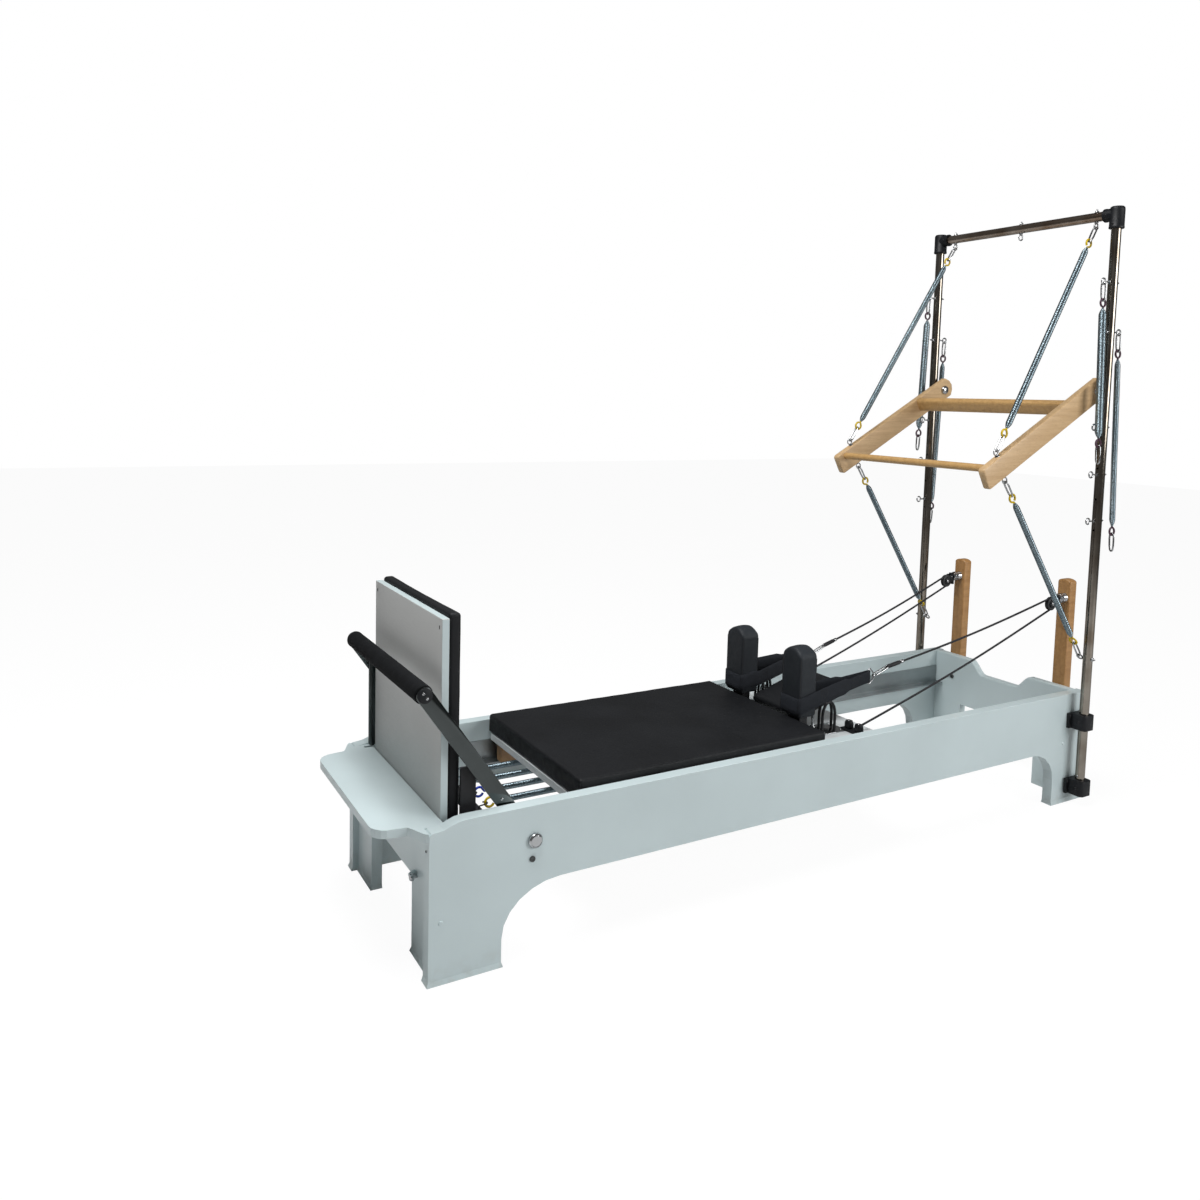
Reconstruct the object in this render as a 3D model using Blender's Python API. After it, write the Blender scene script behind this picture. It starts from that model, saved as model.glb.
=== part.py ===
"""Pilates reformer with tower: a white wooden bed on four legs with a sprung, wheeled carriage, a footbar and
a jumpboard at the foot end, rope risers at the head end, and a steel tube tower with a push-through bar.

Units are metres. X runs from the foot end to the head end, Y from the near rail (-) to the far rail (+), and
Z is up from the floor. X is measured from the foot ends of the rails while building, and the whole object is
moved by CENTRE_X at the end, so that the origin is on the floor under the middle of its bounding box.
"""

import math

import bmesh
import bpy
from mathutils import Matrix, Vector

GAP = 0.0003              # play left between pieces that touch
CENTRE_X = 1.17830        # from the rails' foot ends to the middle of the whole object

# Bed
BED_LENGTH = 2.448
BED_HALF_WIDTH = 0.337
RAIL_THICKNESS = 0.036
RAIL_HEIGHT = 0.390
RAIL_UNDERSIDE = 0.195
FOOT_LEG = 0.186
HEAD_LEG = 0.164
PANEL_THICKNESS = 0.030
PANEL_INSET = 0.016
PANEL_LEG_INNER = 0.170
PANEL_UNDERSIDE = 0.200
PLATFORM_TOP = 0.372
PLATFORM_THICKNESS = 0.022
PLATFORM_OVERHANG = 0.111
TRACK_TOP = 0.267
SKIRT = 0.004             # how far the feet flare out at the floor

# Carriage
DECK_FOOT_X = 0.418
DECK_HEAD_X = 1.520
DECK_HALF_WIDTH = 0.293
DECK_TOP = 0.3537
DECK_THICKNESS = 0.0214
PAD_HEAD_X = 1.238
PAD_TOP = 0.408
WHEEL_RADIUS = 0.022
FRONT_WHEEL_X = 0.520
REAR_WHEEL_X = 1.380
SPRING_LEVEL = 0.300
SPRING_PITCH = 0.075      # between the carriage springs, across the bed
SPRING_BAR_X = 0.225
CARRIAGE_BAR_X = 0.715
HOOK_REACH = 0.0305       # from a spring bar's middle to the bend of its hooks
REST_X = 1.243            # foot side of the shoulder rests
REST_DEPTH = 0.064
REST_INNER_Y = 0.100
REST_OUTER_Y = 0.188
REST_TOP = 0.645
HEADREST_HINGE_X = 1.330
HEADREST_HINGE_Z = 0.376
HEADREST_TILT = math.radians(13.5)
HEADREST_HALF_WIDTH = 0.092

# Footbar and jumpboard
BAR_PIVOT_X = 0.271
BAR_PIVOT_Z = 0.302
ROLLER_X = 0.0
ROLLER_Z = 0.688
ROLLER_RADIUS = 0.0234
ARM_WIDTH = 0.040
ARM_THICKNESS = 0.007
ARM_OUTER_Y = 0.2965
STRUT_WIDTH = 0.020
STRUT_Y = 0.2800
BOARD_X = 0.052
BOARD_THICKNESS = 0.019
BOARD_HALF_WIDTH = 0.265
BOARD_TOP = 0.857
BOARD_BOTTOM = 0.250

# Risers and pulleys
RISER_Y = 0.2325
RISER_WIDTH = 0.052
RISER_THICKNESS = 0.028
RISER_TOP = 0.777
SHEAVE_X = 2.358
SHEAVE_Y = 0.235
SHEAVE_Z = 0.693
STUD_RISE = 0.016         # of the stud's axis over the sheave's
SHEAVE_GROOVE = 0.0200    # radius of the rope's centre line on the sheave
ROPE_RADIUS = 0.0035

# Tower
POST_X = 2.384
POST_Y = 0.3745
TUBE_RADIUS = 0.0159
TUBE_WALL = 0.0020
POST_FOOT_Z = 0.040
CROSSBAR_Z = 2.047
SNAP_LENGTH = 0.066
EYE_RING = 0.0100         # mean radius of an eye bolt's ring
EYE_WIRE = 0.0022
EYE_STAND = 0.0150        # from the centre of an eye to the face that its bolt goes through
LONG_STAND = 0.0350       # the same for the eyes on the posts' front and back
SPRING_RING = 0.0130      # mean radius of the eye at a spring's end
SPRING_WIRE = 0.0018
SNAP_WIRE = 0.0022
BITE = 0.0012             # how deep a spring's eye and its snap hook are joined
POST_BOLTS = ((1.820, -1), (1.654, 1), (1.330, -1), (1.168, -1), (1.008, -1))
LOW_EYE_Z = 0.524
HANG_LEAN = math.radians(2.0)   # the hanging springs lean outwards, beside the eyes below them

# Push-through bar
PUSH_PIVOT_Z = 1.453
PUSH_ANGLE = math.radians(28.8)
PUSH_REACH = 0.616
PUSH_TAIL = 0.050
PUSH_DEPTH = 0.075
PUSH_THICKNESS = 0.025
PUSH_OUTER_Y = 0.343
PUSH_EYE_AT = 0.528       # eye bolts, from the pivot along the arm

# Straps
STRAP_TIP_X = 1.562
STRAP_TIP_Y = 0.149
STRAP_WIDTH = 0.037

SIDES = (("near", -1), ("far", 1))


# Scene and materials

def clear_scene():
    for thing in list(bpy.data.objects):
        bpy.data.objects.remove(thing, do_unlink=True)


def material(name, colour, roughness, metallic=0.0):
    made = bpy.data.materials.new(name)
    made.use_nodes = True
    shader = made.node_tree.nodes["Principled BSDF"]
    shader.inputs["Base Color"].default_value = (*colour, 1.0)
    shader.inputs["Roughness"].default_value = roughness
    shader.inputs["Metallic"].default_value = metallic
    made.diffuse_color = (*colour, 1.0)
    return made


# Small mesh helpers. Each add_ function adds one closed body to a bmesh.

def turn_to(direction):
    """The rotation that takes +Z to a direction."""
    return Vector((0, 0, 1)).rotation_difference(Vector(direction).normalized()).to_matrix().to_4x4()


def add_box(bm, low, high):
    low, high = Vector(low), Vector(high)
    place = Matrix.Translation((low + high) / 2) @ Matrix.Diagonal((*(high - low), 1.0))
    bmesh.ops.create_cube(bm, size=1.0, matrix=place)


def add_rod(bm, start, end, radius, sides=12):
    start, end = Vector(start), Vector(end)
    place = Matrix.Translation((start + end) / 2) @ turn_to(end - start)
    bmesh.ops.create_cone(bm, cap_ends=True, segments=sides, radius1=radius, radius2=radius,
                          depth=(end - start).length, matrix=place)


def add_plate(bm, outline, plane, low, high):
    """A prism on a closed outline. plane names the outline's two axes, and low and high are on the third."""
    first, second = ("XYZ".index(letter) for letter in plane)
    third = 3 - first - second
    points = []
    for a, b in outline:
        point = [0.0, 0.0, 0.0]
        point[first], point[second], point[third] = a, b, low
        points.append(bm.verts.new(point))
    face = bm.faces.new(points)
    grown = bmesh.ops.extrude_face_region(bm, geom=[face])["geom"]
    shift = [0.0, 0.0, 0.0]
    shift[third] = high - low
    bmesh.ops.translate(bm, vec=shift, verts=[v for v in grown if isinstance(v, bmesh.types.BMVert)])


def add_turned(bm, profile, at, axis, sides=16):
    """A body turned about an axis. The profile is (radius, height) pairs, closed round a bore if it has one."""
    old = set(bm.verts)
    rows = [bm.verts.new((radius, 0.0, height)) for radius, height in profile]
    edges = [bm.edges.new(pair) for pair in zip(rows, rows[1:])]
    if min(radius for radius, _ in profile) > 0:
        edges.append(bm.edges.new((rows[-1], rows[0])))
    bmesh.ops.spin(bm, geom=rows + edges, cent=(0, 0, 0), axis=(0, 0, 1), angle=math.tau, steps=sides,
                   use_merge=True, use_duplicate=False)
    bmesh.ops.remove_doubles(bm, verts=[v for v in bm.verts if v not in old], dist=1e-6)
    place = Matrix.Translation(at) @ turn_to(axis)
    bmesh.ops.transform(bm, matrix=place, verts=[v for v in bm.verts if v not in old])


def add_tube(bm, points, radii, closed=False, resolution=1):
    """A round bar along a route. radii is one radius, or one for each point."""
    curve = bpy.data.curves.new("route", "CURVE")
    curve.dimensions = "3D"
    curve.bevel_depth = 1.0
    curve.bevel_resolution = resolution
    curve.use_fill_caps = True
    spline = curve.splines.new("POLY")
    spline.points.add(len(points) - 1)
    for i, point in enumerate(points):
        spline.points[i].co = (*point, 1.0)
        spline.points[i].radius = radii if isinstance(radii, float) else radii[i]
    spline.use_cyclic_u = closed
    holder = bpy.data.objects.new("route", curve)
    mesh = bpy.data.meshes.new_from_object(holder)
    old = set(bm.verts)
    bm.from_mesh(mesh)
    bmesh.ops.remove_doubles(bm, verts=[v for v in bm.verts if v not in old], dist=1e-6)
    bpy.data.objects.remove(holder)
    bpy.data.curves.remove(curve)
    bpy.data.meshes.remove(mesh)


def bevel_edges(bm, chosen, width, segments=1):
    edges = [e for e in bm.edges if chosen(*(v.co for v in e.verts))]
    bmesh.ops.bevel(bm, geom=edges, offset=width, offset_type="OFFSET", segments=segments, profile=0.5,
                    affect="EDGES", clamp_overlap=True, material=-1)


def arc(centre, radii, start, end, steps):
    """Points of an elliptical arc, angles in degrees."""
    angles = [math.radians(start + (end - start) * i / steps) for i in range(steps + 1)]
    return [(centre[0] + radii[0] * math.cos(a), centre[1] + radii[1] * math.sin(a)) for a in angles]


def ease(share):
    return share * share * (3 - 2 * share)


def stadium(start, end, radius, steps=6):
    """The outline of a bar with round ends between two points."""
    turn = math.degrees(math.atan2(end[1] - start[1], end[0] - start[0]))
    return (arc(start, (radius, radius), turn + 90, turn + 270, steps)
            + arc(end, (radius, radius), turn - 90, turn + 90, steps))


def finish(name, bm, made_of, origin=(0, 0, 0), smooth=30):
    """Makes the named object, with its origin at the given point."""
    bmesh.ops.recalc_face_normals(bm, faces=bm.faces)
    mesh = bpy.data.meshes.new(name)
    bm.to_mesh(mesh)
    bm.free()
    mesh.transform(Matrix.Translation(-Vector(origin)))
    mesh.shade_smooth()
    mesh.set_sharp_from_angle(angle=math.radians(smooth))
    mesh.materials.append(made_of)
    thing = bpy.data.objects.new(name, mesh)
    thing.location = origin
    bpy.context.collection.objects.link(thing)
    return thing


def combine(thing, bm, operation, label):
    """Cuts bodies from an object, or joins them on, with a hidden helper and a Boolean modifier."""
    helper = finish(label, bm, thing.data.materials[0])
    helper.hide_render = True
    helper.display_type = "WIRE"
    modifier = thing.modifiers.new(label, "BOOLEAN")
    modifier.operation = operation
    modifier.solver = "EXACT"
    modifier.object = helper


def cushion(bm, low, high, edge, crown, pull, crown_axis=2, spans=(4, 4)):
    """A crowned cushion with round edges, whose sides draw in between the corners. It stays within the box."""
    low, high = Vector(low), Vector(high)
    middle, half = (low + high) / 2, (high - low) / 2
    flat = [i for i in range(3) if i != crown_axis]
    add_box(bm, low, high)
    for axis in range(3):
        normal = Vector([1.0 if i == axis else 0.0 for i in range(3)])
        inner = half[axis] - edge
        cuts = [-inner, inner, half[axis] - 0.3 * edge]
        if axis in flat:
            count = spans[flat.index(axis)]
            cuts += [inner * (2 * i / count - 1) for i in range(1, count)] + [0.3 * edge - half[axis]]
        for cut in cuts:
            geometry = bm.verts[:] + bm.edges[:] + bm.faces[:]
            bmesh.ops.bisect_plane(bm, geom=geometry, dist=1e-6, plane_co=middle + normal * cut, plane_no=normal)
    a, b = flat
    for vert in bm.verts:
        local = vert.co - middle
        core = Vector([max(-half[i] + edge, min(half[i] - edge, local[i])) for i in range(3)])
        away = local - core
        if away.length > 1e-6:
            local = core + away.normalized() * edge
        u, v = local[a] / half[a], local[b] / half[b]
        if local[crown_axis] > 0:
            local[crown_axis] -= crown * (1 - (1 - u * u) * (1 - v * v))
        local[a] -= pull * u * (1 - v * v)
        local[b] -= pull * v * (1 - u * u)
        vert.co = middle + local
    bm.normal_update()
    base = middle[crown_axis] - half[crown_axis] + 1e-6
    under = [e for e in bm.edges if all(v.co[crown_axis] < base for v in e.verts)]
    under = [e for e in under if all(abs(f.normal[crown_axis]) > 0.999 for f in e.link_faces)]
    bmesh.ops.dissolve_edges(bm, edges=under, use_verts=True)


# Wire fittings. Each add_ function takes points on the line that the fitting lies along.

def ring_points(centre, along, across, radius, start, end, count):
    """Points of an arc round a centre, angles in degrees from along towards across."""
    points = []
    for i in range(count):
        angle = math.radians(start + (end - start) * i / (count - 1))
        points.append(centre + (along * math.cos(angle) + across * math.sin(angle)) * radius)
    return points


def square_to(along, across):
    across = Vector(across)
    return (across - along * across.dot(along)).normalized()


def add_snap(bm, start, end, across, width=0.021):
    """A closed long link with narrow ends, whose wire's centre line runs from start to end."""
    along = (end - start).normalized() * 0.007
    side = square_to(along.normalized(), across) * (width / 2 - SNAP_WIRE)
    points = [start - side / 2, start + side / 2, start + along + side, end - along + side,
              end + side / 2, end - side / 2, end - along - side, start + along - side]
    add_tube(bm, points, SNAP_WIRE, closed=True)


def add_eye_bolt(bm, ring, shank, across, stand=EYE_STAND, tail=0.011):
    """An eye bolt: a ring about a centre, a shank that goes through a tube, and a nut behind it."""
    along = Vector(shank).normalized()
    side = square_to(along, across)
    points = ring_points(ring, along, side, EYE_RING, 330, 30, 7)
    radii = [EYE_WIRE] * len(points)
    nut = stand + 2 * TUBE_RADIUS
    for at, radius in ((EYE_RING + 0.0030, EYE_WIRE), (EYE_RING + 0.0034, 0.0031), (nut - 0.0005, 0.0031),
                       (nut - 0.0003, 0.0072), (nut + 0.0055, 0.0062), (nut + tail, 0.0028)):
        points.append(ring + along * at)
        radii.append(radius)
    add_tube(bm, points, radii)


def add_spring(bm, start, end, first_side, last_side, body, neck=0.030):
    """A close-wound spring from eye centre to eye centre: an eye, a taper, the body, a taper and an eye."""
    along = (end - start).normalized()
    length = (end - start).length
    points = ring_points(start, along, square_to(along, first_side), SPRING_RING, 334, 26, 7)
    radii = [SPRING_WIRE] * len(points)
    tip, shoulder = SPRING_RING + 0.004, SPRING_RING + neck
    for at, radius in ((tip, SPRING_WIRE), (shoulder, body), (length - shoulder, body),
                       (length - tip, SPRING_WIRE)):
        points.append(start + along * at)
        radii.append(radius)
    tail = ring_points(end, -along, square_to(along, last_side), SPRING_RING, 26, 334, 7)
    add_tube(bm, points + tail, radii + [SPRING_WIRE] * len(tail))


def snap_in(eye, towards):
    """The ends of a snap hook that hangs in an eye bolt, and the centre of the spring's eye that it holds."""
    along = (towards - eye).normalized()
    start = eye + along * (0.9 * EYE_RING - EYE_WIRE - SNAP_WIRE - 0.0006)
    end = start + along * (SNAP_LENGTH - 2 * SNAP_WIRE)
    return start, end, end + along * (SPRING_RING - SPRING_WIRE - SNAP_WIRE + BITE)


# The bed

def rail_outline():
    """The side rail in X and Z: two legs, an arch at each, and a top that dips to the platform."""
    head = BED_LENGTH
    points = [(0.0, 0.0), (FOOT_LEG, 0.0)]
    points += arc((FOOT_LEG + 0.159, 0.070), (0.159, RAIL_UNDERSIDE - 0.070), 180, 90, 6)
    points += arc((head - HEAD_LEG - 0.112, 0.090), (0.112, RAIL_UNDERSIDE - 0.090), 90, 0, 5)
    points += [(head - HEAD_LEG, 0.0), (head, 0.0), (head, RAIL_HEIGHT - 0.006), (head - 0.006, RAIL_HEIGHT)]
    for i in range(5):
        share = i / 4
        points.append((0.088 - 0.070 * share, RAIL_HEIGHT - (RAIL_HEIGHT - PLATFORM_TOP) * ease(share)))
    points += [(0.006, PLATFORM_TOP - 0.001), (0.0, PLATFORM_TOP - 0.007)]
    return points


def skirt_feet(bm, outward):
    """Flares the legs out a little where they meet the floor. outward says how far each point goes."""
    geometry = bm.verts[:] + bm.edges[:] + bm.faces[:]
    bmesh.ops.bisect_plane(bm, geom=geometry, dist=1e-6, plane_co=(0, 0, 0.012), plane_no=(0, 0, 1))
    for vert in bm.verts:
        if vert.co.z < 0.001:
            vert.co += Vector(outward(vert.co))


def add_screw(bm, at, out):
    """A round screw head whose foot is sunk a little into the face it stands on."""
    add_turned(bm, [(0.0, -0.0020), (0.0068, -0.0020), (0.0050, 0.0032), (0.0, 0.0032)], at, out, 9)


def side_rail(word, side, paint):
    bm = bmesh.new()
    outer, inner = side * BED_HALF_WIDTH, side * (BED_HALF_WIDTH - RAIL_THICKNESS)
    add_plate(bm, rail_outline(), "XZ", min(outer, inner), max(outer, inner))
    bevel_edges(bm, lambda a, b: min(a.z, b.z) > PLATFORM_TOP - 0.0005 and abs(a.y - b.y) < 1e-6, 0.007, 2)

    def outward(p):
        across = SKIRT * side if abs(p.y - outer) < 1e-5 else 0.0
        if p.x < 0.001 or abs(p.x - BED_LENGTH + HEAD_LEG) < 0.001:
            return (-SKIRT, across, 0)
        return (SKIRT, across, 0)

    skirt_feet(bm, outward)
    rail = finish(word + "_side_rail", bm, paint)
    screws = bmesh.new()
    for x, z in ((0.264, 0.255), (2.330, 0.215), (0.030, 0.150)):
        add_screw(screws, (x, outer, z), (0, side, 0))
    combine(rail, screws, "UNION", word + "_rail_screws")
    hole = bmesh.new()
    add_rod(hole, (BAR_PIVOT_X, outer + 0.01 * side, BAR_PIVOT_Z),
            (BAR_PIVOT_X, inner - 0.01 * side, BAR_PIVOT_Z), 0.0064)
    combine(rail, hole, "DIFFERENCE", word + "_rail_pivot_hole")


def panel_outline(top):
    """An end panel in Y and Z: a leg at each side and the given top line, from the far side to the near."""
    edge = BED_HALF_WIDTH - RAIL_THICKNESS - GAP
    return [(-edge, 0.0), (-PANEL_LEG_INNER, 0.0), (-PANEL_LEG_INNER, PANEL_UNDERSIDE),
            (PANEL_LEG_INNER, PANEL_UNDERSIDE), (PANEL_LEG_INNER, 0.0), (edge, 0.0)] + top(edge)


def end_panels(paint):
    top = PLATFORM_TOP - PLATFORM_THICKNESS - GAP
    bm = bmesh.new()
    add_plate(bm, panel_outline(lambda edge: [(edge, top), (-edge, top)]), "YZ",
              PANEL_INSET, PANEL_INSET + PANEL_THICKNESS)

    def outward(p):
        across = 0.0 if abs(p.y) > 0.25 else -SKIRT * (1 if p.y > 0 else -1)
        return (-SKIRT if p.x < PANEL_INSET + 0.001 else 0.0, across, 0)

    skirt_feet(bm, outward)
    panel = finish("foot_end_panel", bm, paint)
    knob = bmesh.new()
    add_turned(knob, [(0.0, -0.002), (0.0095, -0.002), (0.0095, 0.004), (0.0045, 0.017), (0.0, 0.017)],
               (PANEL_INSET, -0.196, 0.212), (-1, 0, 0), 12)
    combine(panel, knob, "UNION", "foot_panel_knob")

    def dipped(edge):
        level, low = RAIL_HEIGHT + 0.001, 0.342
        points = [(edge, level)]
        for side in (1, -1):
            slope = []
            for i in range(7):
                share = i / 6
                slope.append((side * (0.136 - 0.062 * share), level - (level - low) * ease(share)))
            points += slope if side == 1 else slope[::-1]
        return points + [(-edge, level)]

    bm = bmesh.new()
    low = BED_LENGTH - PANEL_INSET - PANEL_THICKNESS
    add_plate(bm, panel_outline(dipped), "YZ", low, low + PANEL_THICKNESS)
    bevel_edges(bm, lambda a, b: min(a.z, b.z) > 0.335 and abs(a.x - b.x) < 1e-6, 0.005, 2)
    panel = finish("head_end_panel", bm, paint)
    screws = bmesh.new()
    for side in (-1, 1):
        add_screw(screws, (low, side * 0.229, 0.302), (-1, 0, 0))
    combine(panel, screws, "UNION", "head_panel_screws")


def foot_platform(paint):
    """The step at the foot end, with a notch for the footbar's strut. Its sides sweep out to meet the rails."""
    back, half, corner = -PLATFORM_OVERHANG, 0.272, 0.045
    edge = BED_HALF_WIDTH - RAIL_THICKNESS - GAP
    side = arc((back + corner, half - corner), (corner, corner), 180, 90, 5)
    for i in range(1, 7):
        share = i / 6
        side.append((-0.040 + 0.0397 * share, half + (BED_HALF_WIDTH - half - 0.001) * ease(share)))
    side += [(-GAP, edge), (0.0505, edge)]
    notch = [(0.0505, STRUT_Y + 0.009), (0.026, STRUT_Y + 0.009), (0.026, STRUT_Y - 0.003), (0.0505, STRUT_Y - 0.003)]
    outline = side + notch + [(x, -y) for x, y in reversed(side)]
    bm = bmesh.new()
    low, high = PLATFORM_TOP - PLATFORM_THICKNESS, PLATFORM_TOP - 0.0005
    add_plate(bm, outline, "XY", low, high)
    bevel_edges(bm, lambda a, b: max(a.x, b.x) < back + corner + 1e-5 and abs(a.z - b.z) < 1e-6, 0.006, 1)
    finish("foot_platform", bm, paint)


def tracks(metal):
    """An L-shaped track on the inside of each rail, whose ledge carries the carriage wheels."""
    wall = BED_HALF_WIDTH - RAIL_THICKNESS - GAP
    for word, side in SIDES:
        outline = [(wall, 0.262), (0.262, 0.262), (0.262, TRACK_TOP), (wall - 0.004, TRACK_TOP),
                   (wall - 0.004, 0.329), (wall, 0.329)]
        bm = bmesh.new()
        add_plate(bm, [(side * y, z) for y, z in outline], "YZ", 0.345, 2.4015)
        finish(word + "_track", bm, metal)


def spring_rows():
    return [SPRING_PITCH * i for i in (-2, -1, 0, 1, 2)]


def add_spring_hooks(bm, x, way):
    """Open hooks that reach from a bar's middle, along way, through the springs' eyes."""
    level = SPRING_LEVEL
    for y in spring_rows():
        route = ((0.002, -0.008, -0.011), (0.006, -0.008, -0.002), (HOOK_REACH - 0.0045, -0.0075, 0.0),
                 (HOOK_REACH, -0.003, 0.0), (HOOK_REACH, 0.003, 0.0), (HOOK_REACH - 0.0045, 0.0072, 0.0),
                 (HOOK_REACH - 0.010, 0.0078, 0.0))
        add_tube(bm, [(x + dx * way, y + dy, level + dz) for dx, dy, dz in route], 0.0021)


def spring_bars(dark, metal):
    """The bar that the springs hook onto at the foot end, with the jumpboard's posts welded to it, and the
    bar under the carriage."""
    wall = BED_HALF_WIDTH - RAIL_THICKNESS - GAP
    bm = bmesh.new()
    add_box(bm, (SPRING_BAR_X - 0.010, -wall, 0.262), (SPRING_BAR_X + 0.010, wall, 0.292))
    bar = finish("spring_bar", bm, dark)
    extras = bmesh.new()
    add_spring_hooks(extras, SPRING_BAR_X, 1)
    outline = [(0.1005, 0.264), (SPRING_BAR_X, 0.264), (SPRING_BAR_X, 0.290), (SPRING_BAR_X - 0.012, 0.297),
               (0.150, 0.297), (0.140, 0.306), (0.140, 0.484), (0.134, 0.490), (0.1005, 0.490)]
    for side in (-1, 1):
        add_plate(extras, outline, "XZ", *sorted((side * 0.2655, side * 0.2735)))
    combine(bar, extras, "UNION", "spring_bar_hooks_and_posts")

    bm = bmesh.new()
    add_box(bm, (CARRIAGE_BAR_X - 0.010, -0.2215, 0.2865),
            (CARRIAGE_BAR_X + 0.010, 0.2215, DECK_TOP - DECK_THICKNESS - GAP))
    bar = finish("carriage_spring_bar", bm, metal)
    hooks = bmesh.new()
    add_spring_hooks(hooks, CARRIAGE_BAR_X, -1)
    combine(bar, hooks, "UNION", "carriage_bar_hooks")


def risers(beech, black, grey):
    """Wooden risers outside the head panel. Each holds a pulley on a chrome stud."""
    face = BED_LENGTH - PANEL_INSET + GAP
    for word, side in SIDES:
        y = side * RISER_Y
        wide = RISER_WIDTH / 2
        top = arc((y, RISER_TOP - 0.012), (wide, 0.012), 0, 180, 8)
        bm = bmesh.new()
        add_plate(bm, [(y - wide, 0.215), (y + wide, 0.215)] + top, "YZ", face, face + RISER_THICKNESS)
        bevel_edges(bm, lambda a, b: abs(a.x - b.x) < 1e-6 and max(a.z, b.z) > 0.3, 0.004, 1)
        riser = finish(word + "_riser", bm, beech)
        hole = bmesh.new()
        level = SHEAVE_Z + STUD_RISE
        add_rod(hole, (face - 0.01, side * SHEAVE_Y, level), (face + 0.04, side * SHEAVE_Y, level), 0.0055, 10)
        combine(riser, hole, "DIFFERENCE", word + "_riser_hole")
        pulley(word, side, face, black, grey)


def pulley(word, side, face, black, grey):
    """A grooved sheave in a block. The block, its pin and the stud through the riser are one piece."""
    y = side * SHEAVE_Y
    centre = (SHEAVE_X, y, SHEAVE_Z)
    wheel = bmesh.new()
    add_turned(wheel, [(0.0044, -0.0068), (0.0235, -0.0068), (0.0235, -0.0056), (0.0160, -0.0038),
                       (0.0160, 0.0038), (0.0235, 0.0056), (0.0235, 0.0068), (0.0044, 0.0068)],
               centre, (0, 1, 0), 14)
    finish(word + "_pulley_sheave", wheel, grey, centre)
    front, web, back = SHEAVE_X - 0.014, SHEAVE_X + 0.0265, SHEAVE_X + 0.0345
    outline = [(front, y - 0.0108), (back, y - 0.0108), (back, y + 0.0108), (front, y + 0.0108),
               (front, y + 0.0075), (web, y + 0.0075), (web, y - 0.0075), (front, y - 0.0075)]
    block = bmesh.new()
    add_plate(block, outline, "XY", SHEAVE_Z - 0.0145, SHEAVE_Z + 0.0300)
    bevel_edges(block, lambda a, b: abs(a.y - b.y) > 0.002 and max(a.x, b.x) < front + 1e-5, 0.010, 3)
    housing = finish(word + "_pulley_block", block, black)
    extras = bmesh.new()
    add_rod(extras, (SHEAVE_X, y - 0.0122, SHEAVE_Z), (SHEAVE_X, y + 0.0122, SHEAVE_Z), 0.0040, 10)
    start = back - 0.001
    end = face - GAP - start
    nut = face + RISER_THICKNESS + GAP - start
    add_turned(extras, [(0.0, 0.0), (0.0130, 0.0), (0.0150, 0.003), (0.0150, end), (0.0050, end),
                        (0.0050, nut), (0.0095, nut), (0.0088, nut + 0.007), (0.0, nut + 0.007)],
               (start, y, SHEAVE_Z + STUD_RISE), (1, 0, 0), 12)
    combine(housing, extras, "UNION", word + "_pulley_pin_and_stud")


# The carriage

def wheel_level():
    return TRACK_TOP + GAP + WHEEL_RADIUS


def carriage(white, vinyl, beech, black):
    underside = DECK_TOP - DECK_THICKNESS
    bm = bmesh.new()
    add_box(bm, (DECK_FOOT_X, -DECK_HALF_WIDTH, underside), (DECK_HEAD_X, DECK_HALF_WIDTH, DECK_TOP))
    bevel_edges(bm, lambda a, b: abs(a.z - b.z) > 0.01, 0.012, 2)
    finish("carriage_deck", bm, white)

    pad = bmesh.new()
    cushion(pad, (DECK_FOOT_X - 0.002, -0.295, DECK_TOP + GAP), (PAD_HEAD_X, 0.295, PAD_TOP), 0.013, 0.005, 0.002,
            spans=(4, 3))
    finish("carriage_pad", pad, vinyl)

    for word, side in SIDES:
        low, high = sorted((side * 0.222, side * 0.260))
        runner = bmesh.new()
        add_box(runner, (DECK_FOOT_X + 0.012, low, 0.262), (DECK_HEAD_X - 0.060, high, underside - GAP))
        bevel_edges(runner, lambda a, b: abs(a.y - b.y) > 0.01 and max(a.z, b.z) < 0.27, 0.014, 1)
        body = finish(word + "_carriage_runner", runner, beech)
        holes = bmesh.new()
        for place, x in (("front", FRONT_WHEEL_X), ("rear", REAR_WHEEL_X)):
            add_rod(holes, (x, low - 0.01, wheel_level()), (x, high + 0.01, wheel_level()), 0.0044, 10)
            wheel(f"{word}_{place}_wheel", x, side, black)
        combine(body, holes, "DIFFERENCE", word + "_runner_axle_holes")


def wheel(name, x, side, black):
    """A wheel with its stub axle, which turns in the runner."""
    centre = (x, side * 0.281, wheel_level())
    profile = [(0.0, -0.0585), (0.0040, -0.0585), (0.0040, -0.0110), (WHEEL_RADIUS - 0.001, -0.0110),
               (WHEEL_RADIUS, -0.0090), (WHEEL_RADIUS, 0.0090), (WHEEL_RADIUS - 0.001, 0.0110), (0.0, 0.0125)]
    bm = bmesh.new()
    add_turned(bm, profile, centre, (0, side, 0), 14)
    finish(name, bm, black, centre)


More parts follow.
